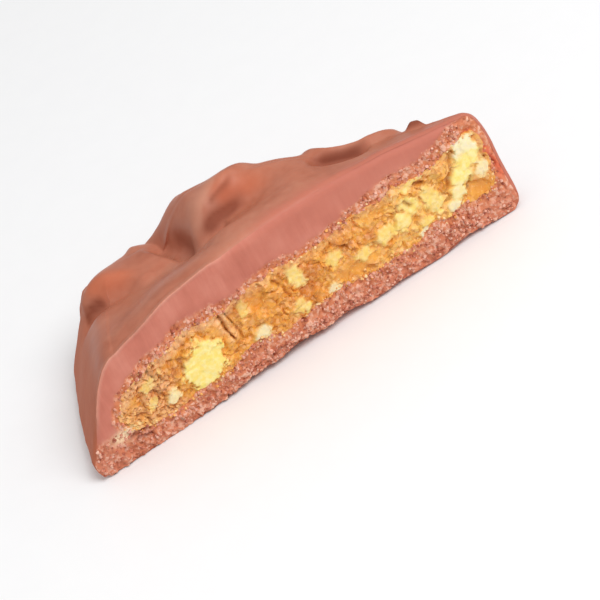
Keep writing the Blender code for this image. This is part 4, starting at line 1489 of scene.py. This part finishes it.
    def parts(self, plane: Array) -> FaceParts:
        """What lies at each place of the cut plane."""
        crumbly = self.crumbly_end.share(plane[..., 0] - 1.2 * waves(plane, 2.0, 43))
        warped = plane + shaken(plane, 0.3, 0.9, 41)
        large, middling, small = (cells.around(warped) for cells in (self.large, self.middling, self.small))
        chips = self.chips.around(warped + shaken(plane, 0.16, 0.35, 49))
        middling = tuple(part + crumbly * (chip - part) for part, chip in zip(middling, chips))
        ragged = 0.12 * (middling[0] - 0.5) + 0.25 * waves(plane, 0.8, 48) + 0.30 * (small[0] - 0.5)
        covers = [lump.cover(warped, ragged) for lump in self.lumps]
        bent = plane + shaken(plane, 0.25, 1.1, 45)
        thin = line_share(self.thin_crack, 0.7 * self.crack_width, bent)
        crack = np.maximum(line_share(self.crack, self.crack_width, bent), 0.6 * thin)
        return FaceParts(
            crumbly=crumbly,
            large=large,
            middling=middling,
            small=small,
            pale=np.maximum.reduce([lump.strength * cover for lump, cover in zip(self.lumps, covers)]),
            white=np.maximum.reduce([lump.whiteness * cover for lump, cover in zip(self.lumps, covers)]),
            glassy=smooth(sum(zone.lift(plane) for zone in self.glassy)),
            crack=crack,
            # A painted highlight along both sides of the cracks.
            rim=line_share(self.crack, self.crack_highlight, bent) * (1.0 - crack),
            hole=np.maximum.reduce([line_share(line, self.hole_width, bent) for line in self.holes]),
            inside=self.slab.inside(plane),
        )

    @staticmethod
    def steps(crystals: tuple, rise: float, tilt: float) -> Array:
        """Crystals standing out by a rise that differs, and each tilted."""
        value, slope, _ = crystals
        return rise * (value - 0.5) + tilt * slope

    def height(self, parts: FaceParts) -> Array:
        """How far the toffee stands towards the viewer of the cut, in millimetres."""
        blocks = smooth(parts.large[2] / self.crystal_border) * (1.0 - 0.7 * parts.pale)
        firm = parts.crumbly + (1.0 - parts.crumbly) * smooth(parts.middling[2] / self.crystal_border)
        height = self.steps(parts.large, 0.30, 0.42) * blocks
        height += self.steps(parts.middling, 0.18, 0.24) * firm * parts.grainy
        height += self.steps(parts.small, 0.10, 0.12) * parts.grainy
        height += self.lump_height * parts.pale - parts.groove * (0.08 + 0.18 * parts.crumbly) * parts.grainy
        height = height - self.crack_depth * (parts.crack + 0.7 * parts.hole) - self.recess
        return height * (0.4 + 0.6 * smooth(parts.inside / self.settle_width))

    def tints(self, plane: Array, parts: FaceParts) -> dict[str, Array]:
        """The values that the finish reads at each place of the cut plane, by their names."""
        x, z = plane[..., 0], plane[..., 1]
        mid, _, border = parts.middling
        crumbly, glassy = parts.crumbly, parts.glassy
        dark = sum(spot.lift(plane) for spot in self.dark_spots)
        crystal = 0.45 * mid + 0.30 * parts.small[0] + 0.25 * parts.large[0]
        zone = 0.5 + 0.6 * waves(plane, 2.6, 44)
        mottle = 0.5 + 0.8 * waves(plane, 0.7, 47)
        tone = 0.50 * zone + (0.25 + 0.25 * crumbly) * crystal + 0.30 * (1.0 - crumbly) * mottle
        tone = tone + 0.18 * self.light_part.share(x) - 0.12 * self.deep_part.share(x)
        tone = np.clip(tone - 0.12 - 0.10 * crumbly - 0.5 * dark, 0.0, 1.0)
        chips = crumbly * (0.15 + 0.35 * self.crystal_ridge.share(border) + 0.5 * smooth((mid - 0.35) / 0.25))
        upper = self.fringe_low.share(z) * (0.45 + 0.55 * self.fringe_left.share(x))
        fringe = self.fringe.share(parts.inside) * upper
        grooves = parts.groove * (0.2 + 0.5 * crumbly) * parts.grainy
        values = {
            "tone": tone * (1.0 - 0.7 * glassy) + 0.22 * glassy,
            "pale": parts.pale + 0.35 * crumbly * smooth((mid - 0.82) / 0.12),
            "white": parts.white,
            # Peach chips and a pale fringe, with a painted highlight along the cracks.
            "peach": chips * (1.0 - 0.8 * glassy) + 0.9 * parts.rim + 0.9 * fringe,
            # Painted shade: grooves between crystals, cracks and holes darkened, with the dark spots added.
            "dark_and_shade": grooves + 1.1 * parts.crack + 0.8 * parts.hole + 0.4 * dark,
            "glassy": glassy,
        }
        return {name: np.clip(value, 0.0, 1.0) for name, value in values.items()}

    def build(self, place: Placement) -> None:
        """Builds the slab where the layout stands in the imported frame."""
        toffee = Mesher.divided_block("toffee", self.grid, self.slab.places(self.grid, 0.0))
        points = Mesher.points(toffee)
        front = np.abs(points[:, 1]) < FRONT_GAP
        plane = points[front][:, ::2]
        parts = self.parts(plane)
        points[front, 1] -= self.height(parts)
        Mesher.move(toffee, place.metres(points))
        kept = {name: spread(front, tint) for name, tint in self.tints(plane, parts).items()}
        kept["tone"][~front] = self.tone_behind
        Mesher.store(toffee, kept)
        toffee.data.materials.append(ToffeeFinish().make())
        Mesher.shade(toffee, self.shade_angle)
        Mesher.finish(toffee, "toffee_core", "brittle_toffee")


@dataclass
class Crumbs:
    """Loose crumbs on the cut face: a few cut shapes, copied, turned and joined into one piece."""

    name: str
    slot: str
    count: int
    size: tuple
    seed: int
    finish: CrumbFinish
    tone_power: float = 1.0
    shapes: int = 5
    facets: int = 4
    facet_depth: tuple = (0.20, 0.36)
    stretch: tuple = (0.7, 1.3)

    def odds(self, plane: Array, rough: Array, inside: Array) -> Array:
        """The share of places to keep.

        Args:
            plane: places in the cut plane.
            rough: how crumbly the chocolate is at each.
            inside: how far inside the toffee's outline each is, in millimetres.

        Returns:
            The share at each place, from 0 to 1.
        """
        raise NotImplementedError

    def shape(self, rng: np.random.Generator) -> Thing:
        """One angular crumb, a ball with flat cuts, a unit across."""
        Mesher.clear()
        bpy.ops.mesh.primitive_ico_sphere_add(subdivisions=1, radius=0.5)
        crumb = bpy.context.object
        bpy.ops.object.mode_set(mode="EDIT")
        for _ in range(self.facets):
            way = Vector(rng.normal(size=3)).normalized()
            bpy.ops.mesh.select_all(action="SELECT")
            bpy.ops.mesh.bisect(
                plane_co=way * rng.uniform(*self.facet_depth), plane_no=way, use_fill=True, clear_outer=True)
        bpy.ops.mesh.select_all(action="SELECT")
        bpy.ops.mesh.quads_convert_to_tris()
        bpy.ops.mesh.normals_make_consistent(inside=False)
        bpy.ops.object.mode_set(mode="OBJECT")
        return crumb

    def build(self, places: Array, shades: Array) -> None:
        """Builds the crumbs.

        Args:
            places: a place for each crumb's middle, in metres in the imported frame.
            shades: a tone from 0 to 1 for each crumb.
        """
        rng = np.random.default_rng(self.seed)
        models = [self.shape(rng) for _ in range(self.shapes)]
        copies = []
        for place, tone in zip(places, shades):
            model = models[rng.integers(len(models))]
            crumb = model.copy()
            crumb.data = model.data.copy()
            size = rng.uniform(*self.size) * MM
            stretch = Matrix.Diagonal((*(size * rng.uniform(*self.stretch, 3)), 1.0))
            turn = Matrix.Rotation(rng.uniform(0, 2 * math.pi), 4, Vector(rng.normal(size=3)).normalized())
            crumb.data.transform(Matrix.Translation(Vector(place)) @ turn @ stretch)
            Mesher.store(crumb, {"shade": np.full(len(crumb.data.vertices), tone)})
            bpy.context.scene.collection.objects.link(crumb)
            copies.append(crumb)
        for model in models:
            bpy.data.objects.remove(model, do_unlink=True)
        Mesher.clear()
        for crumb in copies:
            crumb.select_set(True)
        bpy.context.view_layer.objects.active = copies[0]
        bpy.ops.object.join()
        joined = bpy.context.object
        joined.name = self.name
        joined.data.materials.append(self.finish.make())
        Mesher.finish(joined, None, self.slot)


@dataclass
class ChocolateCrumbs(Crumbs):
    """Crumbs of chocolate where the cut is rough."""

    name: str = "chocolate_crumbs"
    slot: str = "milk_chocolate"
    count: int = 1500
    size: tuple = (0.12, 0.40)
    seed: int = 61
    finish: CrumbFinish = CrumbFinish(
        "chocolate_crumb", (0.340, 0.075, 0.035), (0.640, 0.220, 0.135), (0.840, 0.490, 0.370), 0.55)
    tone_power: float = 0.7

    def odds(self, plane: Array, rough: Array, inside: Array) -> Array:
        """More where it is rougher, and none on the toffee."""
        return rough * (inside < 0.1) * 0.9


@dataclass
class ToffeeCrumbs(Crumbs):
    """Golden crumbs along the border of the toffee."""

    name: str = "toffee_crumbs"
    slot: str = "brittle_toffee"
    count: int = 260
    size: tuple = (0.14, 0.40)
    seed: int = 62
    finish: CrumbFinish = CrumbFinish(
        "toffee_crumb", (0.700, 0.240, 0.050), (0.880, 0.450, 0.130), (0.940, 0.680, 0.360), 0.5)
    reach: float = 0.6
    fading: float = 0.35
    upper_half: float = 6.0

    def odds(self, plane: Array, rough: Array, inside: Array) -> Array:
        """Fewer away from the border, and fewer in the upper half."""
        near = np.where(np.abs(inside) < self.reach, 0.8 * np.exp(-np.abs(inside) / self.fading), 0.0)
        return near * (1.0 - 0.6 * (plane[:, 1] > self.upper_half))


@dataclass
class Scatter:
    """Chooses where crumbs lie on the cut face."""

    coat: CoatPiece
    toffee: ToffeePiece
    seed: int = 5
    batch: int = 4000
    field_x: tuple = (-0.8, 46.4)
    field_z: tuple = (0.25, 13.8)
    top_margin: float = 0.4
    left_margin: float = 0.5
    left_levels: tuple = (2.2, 7.75, 10.6)
    right_edge: float = 46.3
    right_lean: float = 0.12
    right_round: tuple = (9.5, 0.6)

    def height(self, plane: Array, rough: Array, inside: Array) -> Array:
        """The cut face's height at each place, by how crumbly it is and how far inside the toffee it is."""
        rim = np.full(len(plane), 10.0 * self.coat.settle_width)
        chocolate = self.coat.cut_relief(plane, rough, rim)
        return np.where(inside > 0.0, self.toffee.height(self.toffee.parts(plane)), chocolate)

    def within(self, plane: Array) -> Array:
        """Which places lie inside the outline of the cut face."""
        x, z = plane.T
        bar = self.coat.bar
        lean = np.interp(z, self.left_levels, np.cumsum((0.0, *bar.walls[0])))
        round_from, round_slope = self.right_round
        right = self.right_edge - self.right_lean * z - np.maximum(z - round_from, 0.0) * round_slope
        below_top = z < through(bar.cut_top, x) - self.top_margin
        return below_top & (x > bar.cut_left + lean + self.left_margin) & (x < right)

    def places(self, crumbs: Crumbs) -> Array:
        """Random places on the face, as layout points, where the odds of the crumbs have them."""
        rng = np.random.default_rng(self.seed + crumbs.count)
        found = np.zeros((0, 3))
        while len(found) < crumbs.count:
            plane = np.stack([rng.uniform(*field, self.batch) for field in (self.field_x, self.field_z)], -1)
            inside = self.toffee.slab.inside(plane)
            rough = self.coat.roughness_at(plane, inside)
            height = self.height(plane, rough, inside)
            kept = self.within(plane) & (rng.uniform(size=self.batch) < crumbs.odds(plane, rough, inside))
            points = np.stack([plane[:, 0], -height, plane[:, 1]], -1)[kept]
            points[:, 2] += self.coat.notch(points)
            found = np.concatenate([found, points])
        return found[:crumbs.count]


@dataclass
class Studio:
    """The floor, the lights and the camera.

    The camera's eye and target are in layout millimetres, the floor and the lights in metres.
    """

    eye: tuple = (-19.838, -220.552, 167.061)
    target: tuple = (22.882, -1.231, 6.0)
    roll: float = 26.884
    lens: float = 180.0
    key_power: float = 1.3
    key_size: float = 0.26
    key_place: tuple = (0.14, -0.24, 0.36)
    sky_low: float = 0.20
    sky_high: float = 0.88
    floor_size: float = 6.0
    floor_tones: tuple = ((0.89, 0.89, 0.895), (0.91, 0.91, 0.915))

    def floor(self) -> None:
        """A pale floor under the piece."""
        Mesher.clear()
        bpy.ops.mesh.primitive_plane_add(size=self.floor_size)
        floor = bpy.context.object
        floor.name = "floor"
        shader = Shader("pale_floor")
        shader.surface_set(Base_Color=shader.mix(shader.grain(3.0), *self.floor_tones), Roughness=0.7)
        floor.data.materials.append(shader.material)

    def lights(self) -> None:
        """Soft light from above and a large key from the back right."""
        world = bpy.data.worlds.new("soft_sky")
        world.use_nodes = True
        nodes, links = world.node_tree.nodes, world.node_tree.links
        sky = nodes["Background"]
        sky.inputs["Color"].default_value = (1.0, 1.0, 1.0, 1.0)
        places = nodes.new("ShaderNodeTexCoord")
        split = nodes.new("ShaderNodeSeparateXYZ")
        rise = nodes.new("ShaderNodeMapRange")
        rise.inputs["To Min"].default_value = self.sky_low
        rise.inputs["To Max"].default_value = self.sky_high
        links.new(places.outputs["Generated"], split.inputs[0])
        links.new(split.outputs["Z"], rise.inputs["Value"])
        links.new(rise.outputs[0], sky.inputs["Strength"])
        bpy.context.scene.world = world
        Mesher.clear()
        bpy.ops.object.light_add(type="AREA", location=self.key_place)
        key = bpy.context.object
        key.name = "key"
        key.data.energy = self.key_power
        key.data.size = self.key_size
        key.rotation_euler = (-Vector(self.key_place)).to_track_quat("-Z", "Y").to_euler()

    def camera(self, place: Placement) -> None:
        """The camera at the photograph's viewpoint, turned about its axis as the piece leans in it."""
        eye, target = (Vector(place.metres(np.array(p))) for p in (self.eye, self.target))
        bpy.ops.object.camera_add(location=eye)
        camera = bpy.context.object
        camera.name = "photo_view"
        camera.data.lens = self.lens
        camera.data.sensor_width = 36.0
        camera.data.clip_start = 0.01
        level = (target - eye).to_track_quat("-Z", "Y").to_matrix().to_4x4()
        turned = level @ Matrix.Rotation(math.radians(-self.roll), 4, "Z")
        turned.translation = eye
        camera.matrix_world = turned
        bpy.context.scene.camera = camera
        bpy.context.scene.view_settings.view_transform = "Standard"


def main() -> None:
    """Builds every piece, the studio and the camera."""
    logging.basicConfig(level=logging.INFO, format="%(message)s")
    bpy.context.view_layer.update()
    bar = BarForm()
    slab = SlabForm(bar)
    coat = CoatPiece(bar, slab)
    toffee = ToffeePiece(slab)
    place = Placement.from_frame(bar)
    coat.build(place)
    toffee.build(place)

    scatter = Scatter(coat, toffee)
    rng = np.random.default_rng(TONE_SEED)
    for crumbs in (ChocolateCrumbs(), ToffeeCrumbs()):
        points = place.metres(scatter.places(crumbs))
        crumbs.build(points, rng.uniform(0.0, 1.0, crumbs.count) ** crumbs.tone_power)

    studio = Studio()
    studio.floor()
    studio.lights()
    studio.camera(place)


if __name__ == "__main__":
    main()
